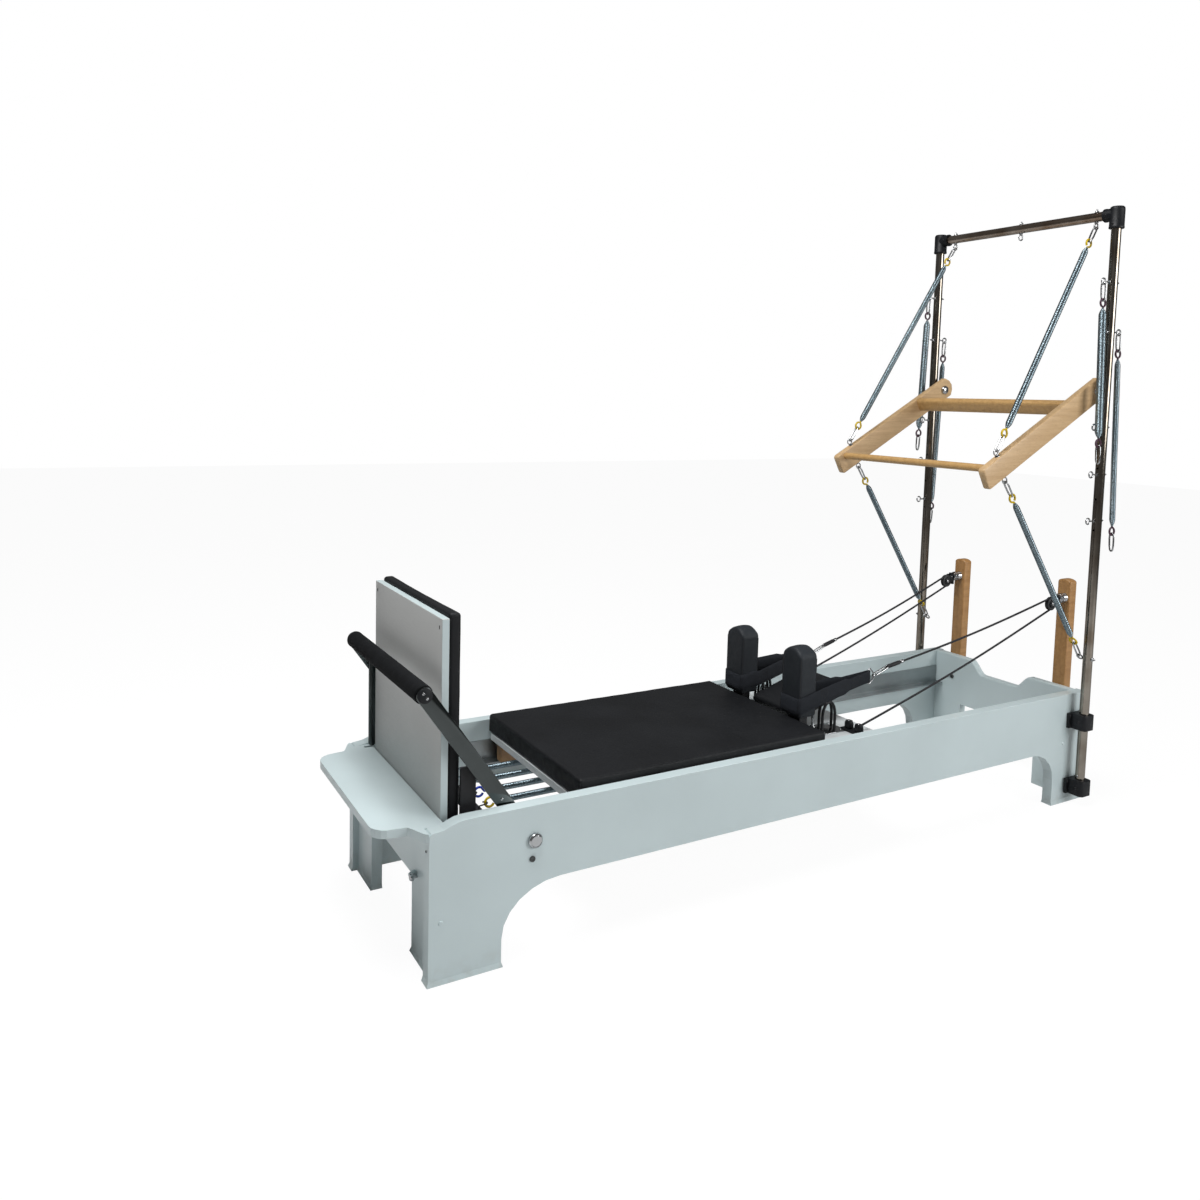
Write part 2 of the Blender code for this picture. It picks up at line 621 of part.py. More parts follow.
def rope_cleats(black):
    """Behind each shoulder rest: a plate on the deck that carries a post and the rope's cleat."""
    base = DECK_TOP + GAP
    for word, side in SIDES:
        low, high = sorted((side * 0.112, side * 0.196))
        bm = bmesh.new()
        add_box(bm, (1.340, low, base), (1.434, high, base + 0.0035))
        plate = finish(word + "_rope_cleat", bm, black)
        low, high = sorted((side * 0.170, side * 0.252))
        body = bmesh.new()
        add_box(body, (1.428, low, base + 0.0001), (1.465, high, base + 0.0070))
        add_turned(body, [(0.0, 0.0010), (0.0050, 0.0010), (0.0050, 0.122), (0.0035, 0.126), (0.0, 0.126)],
                   (1.362, side * 0.1215, base), (0, 0, 1), 12)
        combine(plate, body, "UNION", word + "_cleat_base_and_post")
        cams = bmesh.new()
        for shift in (-1, 1):
            add_turned(cams, [(0.0, 0.0), (0.0145, 0.0), (0.0150, 0.016), (0.0115, 0.021), (0.0, 0.021)],
                       (1.4465, side * 0.212 + shift * 0.0215, base + 0.0060), (0, 0, 1), 10)
        combine(plate, cams, "UNION", word + "_cleat_cams")


def carriage_springs(steel):
    """Five close-wound springs between the spring bar and the carriage."""
    names = ("near_outer", "near_inner", "middle", "far_inner", "far_outer")
    reach = HOOK_REACH + SPRING_RING - SPRING_WIRE - 0.0021 - 0.0006
    up = Vector((0, 0, 1))
    for name, y in zip(names, spring_rows()):
        start = Vector((SPRING_BAR_X + reach, y, SPRING_LEVEL))
        end = Vector((CARRIAGE_BAR_X - reach, y, SPRING_LEVEL))
        bm = bmesh.new()
        add_spring(bm, start, end, up, up, 0.0090)
        finish(name + "_carriage_spring", bm, steel, start, smooth=50)


def shoulder_rests(vinyl):
    for word, side in SIDES:
        low, high = sorted((side * REST_INNER_Y, side * REST_OUTER_Y))
        base = DECK_TOP + GAP
        bm = bmesh.new()
        cushion(bm, (REST_X, low, base), (REST_X + REST_DEPTH, high, REST_TOP), 0.014, 0.005, 0.001, spans=(2, 3))
        for vert in bm.verts:
            if vert.co.z > REST_TOP - 0.03:
                share = (vert.co.y - (low + high) / 2) / (high - low) * 2
                vert.co.z -= 0.022 * share * share
        finish(word + "_shoulder_rest", bm, vinyl, (REST_X + REST_DEPTH / 2, (low + high) / 2, base))


def headrest(vinyl):
    """A padded board on a hinge, held up at a tilt over the deck by the prop block under it."""
    hinge = Vector((HEADREST_HINGE_X, 0.0, HEADREST_HINGE_Z))
    tilt = Matrix.Translation(hinge) @ Matrix.Rotation(-HEADREST_TILT, 4, "Y")
    pad = bmesh.new()
    cushion(pad, (-0.045, -HEADREST_HALF_WIDTH, 0.0), (0.202, HEADREST_HALF_WIDTH, 0.046),
            0.012, 0.005, 0.001, spans=(3, 3))
    bmesh.ops.transform(pad, matrix=tilt, verts=pad.verts)
    rest = finish("headrest", pad, vinyl, hinge)
    under = bmesh.new()
    add_box(under, (-0.030, -0.080, -0.010), (0.185, 0.080, 0.004))
    bmesh.ops.transform(under, matrix=tilt, verts=under.verts)
    combine(rest, under, "UNION", "headrest_board")
    block = bmesh.new()
    add_box(block, (0.068, -0.045, -0.022), (0.108, 0.045, -0.006))
    bmesh.ops.transform(block, matrix=tilt, verts=block.verts)
    combine(rest, block, "UNION", "headrest_prop")


# Straps and ropes

def strap_level(x):
    """Height of the middle of the strap's webbing, which rises from the rest to its ring."""
    return 0.449 + (x - REST_X) * 0.208


def strap_path(side):
    """The strap's loop in plan: round the shoulder rest, and back to the ring behind it."""
    play, corner, nose = 0.0022, 0.012, 0.0058
    low, high = REST_INNER_Y - play, REST_OUTER_Y + play
    foot, head = REST_X - play, REST_X + REST_DEPTH
    span = STRAP_TIP_X - 0.02 - head
    outline = [(head, high)]
    outline += arc((foot + corner, high - corner), (corner, corner), 90, 180, 4)
    outline += arc((foot + corner, low + corner), (corner, corner), 180, 270, 4)
    outline += [(head, low)]
    for share in (0.33, 0.66):
        outline.append((head + span * share, low + (STRAP_TIP_Y - nose - low) * share))
    outline += arc((STRAP_TIP_X, STRAP_TIP_Y), (nose, nose), 270, 450, 6)
    for share in (0.66, 0.33):
        outline.append((head + span * share, high + (STRAP_TIP_Y + nose - high) * share))
    return [(x, side * y) for x, y in outline]


def straps(webbing):
    for word, side in SIDES:
        bm = bmesh.new()
        verts = [bm.verts.new((x, y, strap_level(x) - STRAP_WIDTH / 2)) for x, y in strap_path(side)]
        edges = [bm.edges.new((a, b)) for a, b in zip(verts, verts[1:] + verts[:1])]
        grown = bmesh.ops.extrude_edge_only(bm, edges=edges)["geom"]
        top = [v for v in grown if isinstance(v, bmesh.types.BMVert)]
        bmesh.ops.translate(bm, vec=(0, 0, STRAP_WIDTH), verts=top)
        strap = finish(word + "_strap", bm, webbing)
        thick = strap.modifiers.new("thickness", "SOLIDIFY")
        thick.thickness = 0.0024
        thick.offset = 0.0


def rope_points(side):
    """The rope's route: from the snap hook to the sheave, round it, and back to the cleat on the deck."""
    y = side * SHEAVE_Y
    start = Vector((1.648, side * 0.1520, 0.5265))
    cleat = Vector((1.474, side * 0.212, DECK_TOP + 0.0150))
    turns = []
    for end, way in ((start, 1), (cleat, -1)):
        run = Vector((SHEAVE_X - end.x, SHEAVE_Z - end.z))
        turns.append(math.atan2(run.y, run.x) + way * (math.asin(SHEAVE_GROOVE / run.length) + math.pi / 2))
    wrap = []
    for i in range(8):
        angle = turns[0] + (turns[1] - turns[0]) * i / 7
        wrap.append(Vector((SHEAVE_X + SHEAVE_GROOVE * math.cos(angle), y,
                            SHEAVE_Z + SHEAVE_GROOVE * math.sin(angle))))
    points = []
    for i in range(5):
        points.append(start.lerp(wrap[0], i / 5) - Vector((0, 0, 0.010 * math.sin(math.pi * i / 5))))
    points += wrap
    for i in range(1, 6):
        points.append(wrap[-1].lerp(cleat, i / 5) - Vector((0, 0, 0.012 * math.sin(math.pi * i / 5))))
    return points


def ropes(cord):
    """Each rope, with the ring in the strap's loop and the snap hook that joins the two."""
    for word, side in SIDES:
        points = rope_points(side)
        heading = (points[1] - points[0]).normalized()
        sleeve = [points[0] + heading * at for at in (0.0, 0.048, 0.052)]
        bm = bmesh.new()
        add_tube(bm, sleeve + points[1:], [0.0052, 0.0048] + [ROPE_RADIUS] * len(points))
        rope = finish(word + "_rope", bm, cord, smooth=50)
        x, y, z = STRAP_TIP_X, side * STRAP_TIP_Y, strap_level(STRAP_TIP_X)
        ring = [(x + dx, y, z + dz) for dx, dz in ((0.0, -0.0205), (0.0, 0.0205), (0.008, 0.0245), (0.021, 0.0130),
                                                   (0.026, 0.0), (0.021, -0.0130), (0.008, -0.0245))]
        link = bmesh.new()
        add_tube(link, ring, SNAP_WIRE, closed=True)
        snap = bmesh.new()
        start = Vector((x + 0.026 - 2 * SNAP_WIRE + BITE, y, z))
        add_snap(snap, start, points[0] + heading * 0.003, (0, 1, 0), 0.019)
        combine(rope, snap, "UNION", word + "_strap_snap_hook")
        combine(rope, link, "UNION", word + "_strap_ring")


# Footbar and jumpboard

def strut_pivot():
    """Where the prop hangs on the far arm, on the arm's middle line."""
    x = 0.0485
    share = (x - ROLLER_X) / (BAR_PIVOT_X - ROLLER_X)
    return x, ROLLER_Z + (BAR_PIVOT_Z - ROLLER_Z) * share


def footbar(steel, foam):
    """A frame of two flat arms and a tube, with the pivot bolts that go out through the rails."""
    pivot = (BAR_PIVOT_X, 0.0, BAR_PIVOT_Z)
    inner = ARM_OUTER_Y - ARM_THICKNESS
    bm = bmesh.new()
    add_rod(bm, (ROLLER_X, -ARM_OUTER_Y + 0.001, ROLLER_Z), (ROLLER_X, ARM_OUTER_Y - 0.001, ROLLER_Z), 0.0150, 16)
    frame = finish("footbar_frame", bm, steel, pivot)
    outline = stadium((ROLLER_X, ROLLER_Z), (BAR_PIVOT_X, BAR_PIVOT_Z), ARM_WIDTH / 2)
    arms = bmesh.new()
    for side in (-1, 1):
        add_plate(arms, outline, "XZ", *sorted((side * ARM_OUTER_Y, side * inner)))
    combine(frame, arms, "UNION", "footbar_arms")
    bolts = bmesh.new()
    out = BED_HALF_WIDTH + GAP - inner
    for side in (-1, 1):
        add_turned(bolts, [(0.0, 0.001), (0.0060, 0.001), (0.0060, out), (0.0165, out), (0.0170, out + 0.006),
                           (0.0135, out + 0.011), (0.0, out + 0.0125)],
                   (BAR_PIVOT_X, side * inner, BAR_PIVOT_Z), (0, side, 0), 12)
    combine(frame, bolts, "UNION", "footbar_pivot_bolts")
    x, z = strut_pivot()
    holes = bmesh.new()
    add_rod(holes, (x, 0.280, z), (x, 0.310, z), 0.0044, 10)
    add_rod(holes, (ROLLER_X, -0.31, ROLLER_Z), (ROLLER_X, 0.31, ROLLER_Z), 0.0125, 16)
    combine(frame, holes, "DIFFERENCE", "footbar_bore_and_strut_hole")

    end = inner - GAP
    sleeve = bmesh.new()
    add_turned(sleeve, [(0.0154, -end), (ROLLER_RADIUS - 0.002, -end), (ROLLER_RADIUS, 0.003 - end),
                        (ROLLER_RADIUS, end - 0.003), (ROLLER_RADIUS - 0.002, end), (0.0154, end)],
               (ROLLER_X, 0, ROLLER_Z), (0, 1, 0), 18)
    finish("footbar_foam", sleeve, foam, (ROLLER_X, 0, ROLLER_Z))

    foot = PLATFORM_TOP + 0.0012 + STRUT_WIDTH / 2
    prop = bmesh.new()
    add_plate(prop, stadium((x, z), (x, foot), STRUT_WIDTH / 2), "XZ", STRUT_Y, STRUT_Y + 0.006)
    strut = finish("footbar_strut", prop, steel, (x, 0.0, z))
    pin = bmesh.new()
    add_rod(pin, (x, STRUT_Y + 0.002, z), (x, ARM_OUTER_Y, z), 0.0040, 10)
    combine(strut, pin, "UNION", "strut_pin")


def jumpboard(white, vinyl):
    base = (BOARD_X, 0.0, BOARD_BOTTOM)
    front = BOARD_X + BOARD_THICKNESS
    bm = bmesh.new()
    add_box(bm, (BOARD_X, -BOARD_HALF_WIDTH, BOARD_BOTTOM), (front, BOARD_HALF_WIDTH, BOARD_TOP))
    bevel_edges(bm, lambda a, b: abs(a.x - b.x) > 0.01, 0.006, 2)
    board = finish("jumpboard_panel", bm, white, base)
    slots = bmesh.new()
    for side in (-1, 1):
        add_box(slots, (BOARD_X - 0.01, side * 0.247 - 0.003, BOARD_TOP - 0.030),
                (BOARD_X + 0.004, side * 0.247 + 0.003, BOARD_TOP - 0.018))
    combine(board, slots, "DIFFERENCE", "jumpboard_slots")
    pad = bmesh.new()
    cushion(pad, (front + GAP, -0.263, 0.305), (front + 0.0285, 0.263, 0.869), 0.009, 0.004, 0.002, crown_axis=0)
    finish("jumpboard_pad", pad, vinyl, base)


# The tower

def hanging_eye(side, z, way):
    return Vector((POST_X + way * (TUBE_RADIUS + LONG_STAND), side * POST_Y, z))


def low_eye(side):
    return Vector((POST_X, side * (POST_Y - TUBE_RADIUS - EYE_STAND), LOW_EYE_Z))


def high_eye(side):
    return Vector((POST_X, side * 0.300, CROSSBAR_Z - TUBE_RADIUS - EYE_STAND))


def add_pipe(bm, start, end, sides=12):
    start, end = Vector(start), Vector(end)
    length = (end - start).length
    inner = TUBE_RADIUS - TUBE_WALL
    add_turned(bm, [(inner, 0.0), (TUBE_RADIUS, 0.0), (TUBE_RADIUS, length), (inner, length)],
               start, end - start, sides)


def tower(steel, black):
    """Two posts and a crossbar of steel tube with their eye bolts, corner elbows, and clamps on the rails."""
    end = POST_Y - 0.0215
    for word, side in SIDES:
        y = side * POST_Y
        bm = bmesh.new()
        add_pipe(bm, (POST_X, y, POST_FOOT_Z), (POST_X, y, CROSSBAR_Z - 0.027))
        post = finish(word + "_tower_post", bm, steel, (POST_X, y, POST_FOOT_Z))
        bolts = bmesh.new()
        for z, way in POST_BOLTS:
            add_eye_bolt(bolts, hanging_eye(side, z, way), (-way, 0, 0), (0, 0, 1), LONG_STAND, 0.016)
        low = low_eye(side)
        add_eye_bolt(bolts, low, (0, side, 0), push_eye(side, -1) - low)
        combine(post, bolts, "UNION", word + "_post_eye_bolts")
        hole = bmesh.new()
        add_rod(hole, (POST_X, y - side * 0.03, PUSH_PIVOT_Z), (POST_X, y - side * 0.005, PUSH_PIVOT_Z), 0.0064)
        combine(post, hole, "DIFFERENCE", word + "_post_pivot_hole")
        elbow(word, side, end, black)
        for place, z in (("lower", 0.032), ("upper", 0.266)):
            clamp(f"{word}_{place}_clamp", side, z, black)

    bm = bmesh.new()
    add_pipe(bm, (POST_X, -end, CROSSBAR_Z), (POST_X, end, CROSSBAR_Z))
    bar = finish("tower_crossbar", bm, steel, (POST_X, 0, CROSSBAR_Z))
    bolts = bmesh.new()
    for eye in (high_eye(-1), high_eye(0), high_eye(1)):
        add_eye_bolt(bolts, eye, (0, 0, 1), (1, 0, 0))
    combine(bar, bolts, "UNION", "crossbar_eye_bolts")


def elbow(word, side, end, black):
    y = side * POST_Y
    bm = bmesh.new()
    add_turned(bm, [(0.0, 0.0), (0.0235, 0.0), (0.0245, 0.003), (0.0245, 0.090), (0.0215, 0.096), (0.0, 0.097)],
               (POST_X, y, CROSSBAR_Z - 0.070), (0, 0, 1), 14)
    fitting = finish(word + "_tower_elbow", bm, black)
    sleeve = bmesh.new()
    add_rod(sleeve, (POST_X, y, CROSSBAR_Z), (POST_X, y - side * 0.0545, CROSSBAR_Z), 0.0225, 14)
    combine(fitting, sleeve, "UNION", word + "_elbow_sleeve")
    bores = bmesh.new()
    bore = TUBE_RADIUS + 0.0006
    add_rod(bores, (POST_X, y, CROSSBAR_Z - 0.080), (POST_X, y, CROSSBAR_Z - 0.0267), bore, 16)
    add_rod(bores, (POST_X, side * (end + GAP), CROSSBAR_Z), (POST_X, side * (end - 0.06), CROSSBAR_Z), bore, 16)
    combine(fitting, bores, "DIFFERENCE", word + "_elbow_bores")


def clamp(name, side, z, black):
    """A block with two ears that holds a post to the outside of its rail."""
    face = BED_HALF_WIDTH + GAP
    if z < 0.1:
        face += SKIRT
    half = [(0.041, 0.0), (0.041, 0.010), (0.029, 0.010), (0.029, 0.056), (0.023, 0.0615)]
    outline = [(POST_X - x, side * (face + y)) for x, y in half]
    outline += [(POST_X + x, side * (face + y)) for x, y in reversed(half)]
    bm = bmesh.new()
    add_plate(bm, outline, "XY", z, z + 0.064)
    block = finish(name, bm, black)
    bore = bmesh.new()
    add_rod(bore, (POST_X, side * POST_Y, z - 0.01), (POST_X, side * POST_Y, z + 0.08), TUBE_RADIUS + 0.0006, 16)
    combine(block, bore, "DIFFERENCE", name + "_bore")


# The push-through bar and its springs

def along_arm(distance, rise=0.0):
    """A point in X and Z at a distance from the push bar's pivot along the arm, and a rise square to it."""
    return (POST_X - distance * math.cos(PUSH_ANGLE) - rise * math.sin(PUSH_ANGLE),
            PUSH_PIVOT_Z - distance * math.sin(PUSH_ANGLE) + rise * math.cos(PUSH_ANGLE))


def push_eye(side, way):
    """Centre of the ring above (way 1) or below (way -1) the push bar's arm."""
    x, z = along_arm(PUSH_EYE_AT, way * (PUSH_DEPTH / 2 + EYE_STAND))
    return Vector((x, side * (PUSH_OUTER_Y - PUSH_THICKNESS / 2), z))


def add_double_eye(bm, top, bottom):
    """A bolt through an arm, with a ring and a collar at each end."""
    along = (bottom - top).normalized()
    length = (bottom - top).length
    turn = along.cross(Vector((0, 1, 0)))
    points = ring_points(top, along, turn, EYE_RING, 330, 30, 7)
    radii = [EYE_WIRE] * len(points)
    collar = EYE_STAND + 0.0005
    for at, radius in ((EYE_RING + 0.0032, EYE_WIRE), (EYE_RING + 0.0034, 0.0062), (collar, 0.0062),
                       (length - collar, 0.0062), (length - EYE_RING - 0.0034, 0.0062),
                       (length - EYE_RING - 0.0032, EYE_WIRE)):
        points.append(top + along * at)
        radii.append(radius)
    tail = ring_points(bottom, -along, turn, EYE_RING, 30, 330, 7)
    add_tube(bm, points + tail, radii + [EYE_WIRE] * len(tail))


def push_bar(beech):
    """A glued wooden frame: two arms, the rear crossbar and the dowel, with its eye bolts and pivot bolts."""
    half = PUSH_DEPTH / 2
    inner_y = PUSH_OUTER_Y - PUSH_THICKNESS
    section = [(0.015, 0.019), (0.009, 0.025), (-0.009, 0.025), (-0.015, 0.019),
               (-0.015, -0.019), (-0.009, -0.025), (0.009, -0.025), (0.015, -0.019)]
    bm = bmesh.new()
    add_plate(bm, [along_arm(0.143 + a, 0.011 + b) for a, b in section], "XZ", -inner_y - 0.006, inner_y + 0.006)
    bar = finish("push_bar", bm, beech, (POST_X, 0.0, PUSH_PIVOT_Z))

    outline = [(PUSH_REACH - 0.010, half), (PUSH_REACH, half - 0.010), (PUSH_REACH, 0.010 - half),
               (PUSH_REACH - 0.010, -half), (0.022 - PUSH_TAIL, -half), (0.006 - PUSH_TAIL, -0.020),
               (-PUSH_TAIL, 0.0), (0.006 - PUSH_TAIL, 0.020), (0.022 - PUSH_TAIL, half)]
    arms = bmesh.new()
    for side in (-1, 1):
        add_plate(arms, [along_arm(a, b) for a, b in outline], "XZ", *sorted((side * inner_y, side * PUSH_OUTER_Y)))
    bevel_edges(arms, lambda a, b: abs(a.y - b.y) < 1e-6, 0.0035, 1)
    combine(bar, arms, "UNION", "push_bar_arms")

    extras = bmesh.new()
    x, z = along_arm(0.576, 0.019)
    add_rod(extras, (x, -inner_y - 0.005, z), (x, inner_y + 0.005, z), 0.0125, 12)
    for side in (-1, 1):
        add_double_eye(extras, push_eye(side, 1), push_eye(side, -1))
        add_turned(extras, [(0.0, 0.0495), (0.0060, 0.0495), (0.0060, 0.001), (0.0165, 0.001), (0.0170, -0.006),
                            (0.0135, -0.011), (0.0, -0.0125)],
                   (POST_X, side * inner_y, PUSH_PIVOT_Z), (0, side, 0), 12)
    combine(bar, extras, "UNION", "push_bar_dowel_and_bolts")


def push_springs(steel):
    """Four springs between the tower and the push-through bar, each with a snap hook at both ends."""
    level = Vector((0, 1, 0))
    for word, side in SIDES:
        for place, fixed, moving in (("upper", high_eye(side), push_eye(side, 1)),
                                     ("lower", low_eye(side), push_eye(side, -1))):
            away = (moving - fixed).normalized()
            upright = away.cross(level)
            tower_side = level if place == "upper" else upright
            top_start, top_end, first = snap_in(fixed, moving)
            low_start, low_end, last = snap_in(moving, fixed)
            bm = bmesh.new()
            add_spring(bm, first, last, away.cross(tower_side), upright, 0.0105)
            spring = finish(f"{word}_{place}_push_spring", bm, steel, fixed, smooth=50)
            hooks = bmesh.new()
            add_snap(hooks, top_start, top_end, tower_side)
            add_snap(hooks, low_start, low_end, level)
            combine(spring, hooks, "UNION", f"{word}_{place}_push_hooks")


def hanging_springs(steel):
    """A short spring in front of each post and a long one behind it, hanging with a snap hook at each end."""
    kinds = (("inner", 1.820, -1, 0.0130, 0.472), ("outer", 1.654, 1, 0.0100, 0.610))
    for word, side in SIDES:
        for kind, z, way, body, length in kinds:
            eye = hanging_eye(side, z, way)
            down = Vector((0, side * math.sin(HANG_LEAN), -math.cos(HANG_LEAN)))
            start, end, first = snap_in(eye, eye + down)
            last = first + down * length
            low_start = last + down * (SPRING_RING - SPRING_WIRE - SNAP_WIRE + BITE)
            bm = bmesh.new()
            add_spring(bm, first, last, (1, 0, 0), (1, 0, 0), body)
            spring = finish(f"{word}_{kind}_hanging_spring", bm, steel, eye, smooth=50)
            hooks = bmesh.new()
            add_snap(hooks, start, end, (0, 1, 0))
            add_snap(hooks, low_start, low_start + down * (SNAP_LENGTH - 2 * SNAP_WIRE), (0, 1, 0))
            combine(spring, hooks, "UNION", f"{word}_{kind}_hanging_hooks")


def main():
    clear_scene()
    white = material("white_lacquer", (0.74, 0.79, 0.80), 0.38)
    board = material("white_board", (0.70, 0.70, 0.68), 0.45)
    vinyl = material("black_vinyl", (0.022, 0.022, 0.024), 0.48)
    foam = material("black_foam", (0.018, 0.018, 0.020), 0.80)
    webbing = material("black_webbing", (0.015, 0.016, 0.020), 0.85)
    cord = material("black_cord", (0.030, 0.030, 0.032), 0.80)
    beech = material("beech", (0.62, 0.38, 0.18), 0.50)
    stainless = material("stainless_steel", (0.62, 0.59, 0.56), 0.22, 1.0)
    spring = material("galvanised_spring", (0.42, 0.48, 0.50), 0.38, 1.0)
    polished = material("polished_flat_bar", (0.55, 0.55, 0.54), 0.18, 1.0)
    aluminium = material("aluminium_track", (0.42, 0.45, 0.46), 0.40, 1.0)
    dark = material("dark_steel", (0.06, 0.06, 0.065), 0.45, 0.6)
    black = material("black_nylon", (0.020, 0.021, 0.024), 0.42)
    grey = material("grey_nylon", (0.10, 0.10, 0.11), 0.45)

    for word, side in SIDES:
        side_rail(word, side, white)
    end_panels(white)
    foot_platform(white)
    tracks(aluminium)
    spring_bars(dark, stainless)
    risers(beech, black, grey)
    carriage(board, vinyl, beech, black)
    rope_cleats(black)
    carriage_springs(spring)
    shoulder_rests(vinyl)
    headrest(vinyl)
    straps(webbing)
    ropes(cord)
    footbar(polished, foam)
    jumpboard(board, vinyl)
    tower(stainless, black)
    push_bar(beech)
    push_springs(spring)
    hanging_springs(spring)

    for thing in bpy.data.objects:
        thing.location.x -= CENTRE_X


main()
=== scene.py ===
"""The looks of the pilates reformer: finishes for the CAD pieces that stay, and detailed pieces over the rest.

Sizes are in metres. Pieces are made with X measured from the foot ends of the rails, as in part.py, and their
meshes are moved by CENTRE_X when they are finished.
"""

import math

import bmesh
import bpy
from mathutils import Matrix, Vector, noise


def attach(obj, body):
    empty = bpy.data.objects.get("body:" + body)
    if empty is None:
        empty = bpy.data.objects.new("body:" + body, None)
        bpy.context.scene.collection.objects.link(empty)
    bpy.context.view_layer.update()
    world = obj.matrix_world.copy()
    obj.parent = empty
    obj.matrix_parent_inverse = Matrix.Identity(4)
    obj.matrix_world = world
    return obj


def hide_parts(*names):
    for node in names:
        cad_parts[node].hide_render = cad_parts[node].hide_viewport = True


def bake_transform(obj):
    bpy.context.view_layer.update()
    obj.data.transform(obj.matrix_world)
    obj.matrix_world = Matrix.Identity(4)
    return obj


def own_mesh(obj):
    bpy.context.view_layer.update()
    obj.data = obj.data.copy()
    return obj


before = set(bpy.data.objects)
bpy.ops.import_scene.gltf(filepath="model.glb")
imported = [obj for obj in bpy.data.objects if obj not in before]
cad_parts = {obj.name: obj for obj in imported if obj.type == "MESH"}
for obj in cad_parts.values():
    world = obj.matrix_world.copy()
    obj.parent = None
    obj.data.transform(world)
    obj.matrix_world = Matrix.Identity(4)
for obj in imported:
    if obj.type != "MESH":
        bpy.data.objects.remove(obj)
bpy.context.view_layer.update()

CENTRE_X = 1.17830
SIDES = (("near", -1), ("far", 1))

BED_LENGTH = 2.448
RAIL_FACE = 0.337
RAIL_INNER = 0.301
PLATFORM_TOP = 0.372
DECK_FOOT = 0.418
DECK_TOP = 0.3537
PAD_HEAD = 1.253
PAD_TOP = 0.408
SPRING_LEVEL = 0.300
SPRING_BAR_X = 0.225
CARRIAGE_BAR_X = 0.715
HOOK_REACH = 0.0305
REST_X = 1.238
REST_DEPTH = 0.069
REST_INNER = 0.098
REST_OUTER = 0.189
REST_TOP = 0.637
REST_BOTTOM = 0.416
REST_END = REST_X + REST_DEPTH
HEADREST_HINGE = Vector((1.330, 0.0, 0.376))
HEADREST_TILT = math.radians(17.0)
PIVOT_X, PIVOT_Z = 0.271, 0.302
ROLLER_Z = 0.688
BOARD_X = 0.052
SHEAVE = (2.358, 0.235, 0.693)
STUD_RISE = 0.016
RISER_THICK = 0.038
GROOVE = 0.0200
ROPE = 0.0035
POST_X, POST_Y = 2.384, 0.3745
TUBE = 0.0159
CROSSBAR_Z = 2.047
RING, RING_WIRE = 0.0100, 0.0022
STAND, LONG_STAND = 0.0150, 0.0350
SNAP, SNAP_WIRE = 0.066, 0.0022
COIL_EYE, EYE_WIRE = 0.0130, 0.0034
HOOK_WIRE = 0.0029
BOLTS = ((1.820, -1), (1.654, 1), (1.330, -1), (1.168, -1), (1.008, -1))
LEAN = math.radians(2.0)
PUSH_Z = 1.453
PUSH_ANGLE = math.radians(28.8)
PUSH_Y, PUSH_THICK = 0.343, 0.025
PUSH_HALF = 0.0375
STRAP_TIP = (1.562, 0.149)
STRAP_END = STRAP_TIP[0] - 0.02
STRAP_PLAY, STRAP_NOSE = 0.0022, 0.0058
CLEAT_X, CLEAT_Y = 1.4465, 0.212
CAM_SHIFT = 0.0215
ARM_FACE = 0.2965


# Finishes

class Value:
    """A number on its way through a material's nodes, so that its maths reads as plain Python."""

    def __init__(self, finish, socket):
        self.finish = finish
        self.socket = socket

    def maths(self, operation, first, second):
        return self.finish.node("ShaderNodeMath", {"operation": operation}, {0: first, 1: second})

    def __add__(self, other):
        return self.maths("ADD", self, other)

    def __sub__(self, other):
        return self.maths("SUBTRACT", self, other)

    def __mul__(self, other):
        return self.maths("MULTIPLY", self, other)


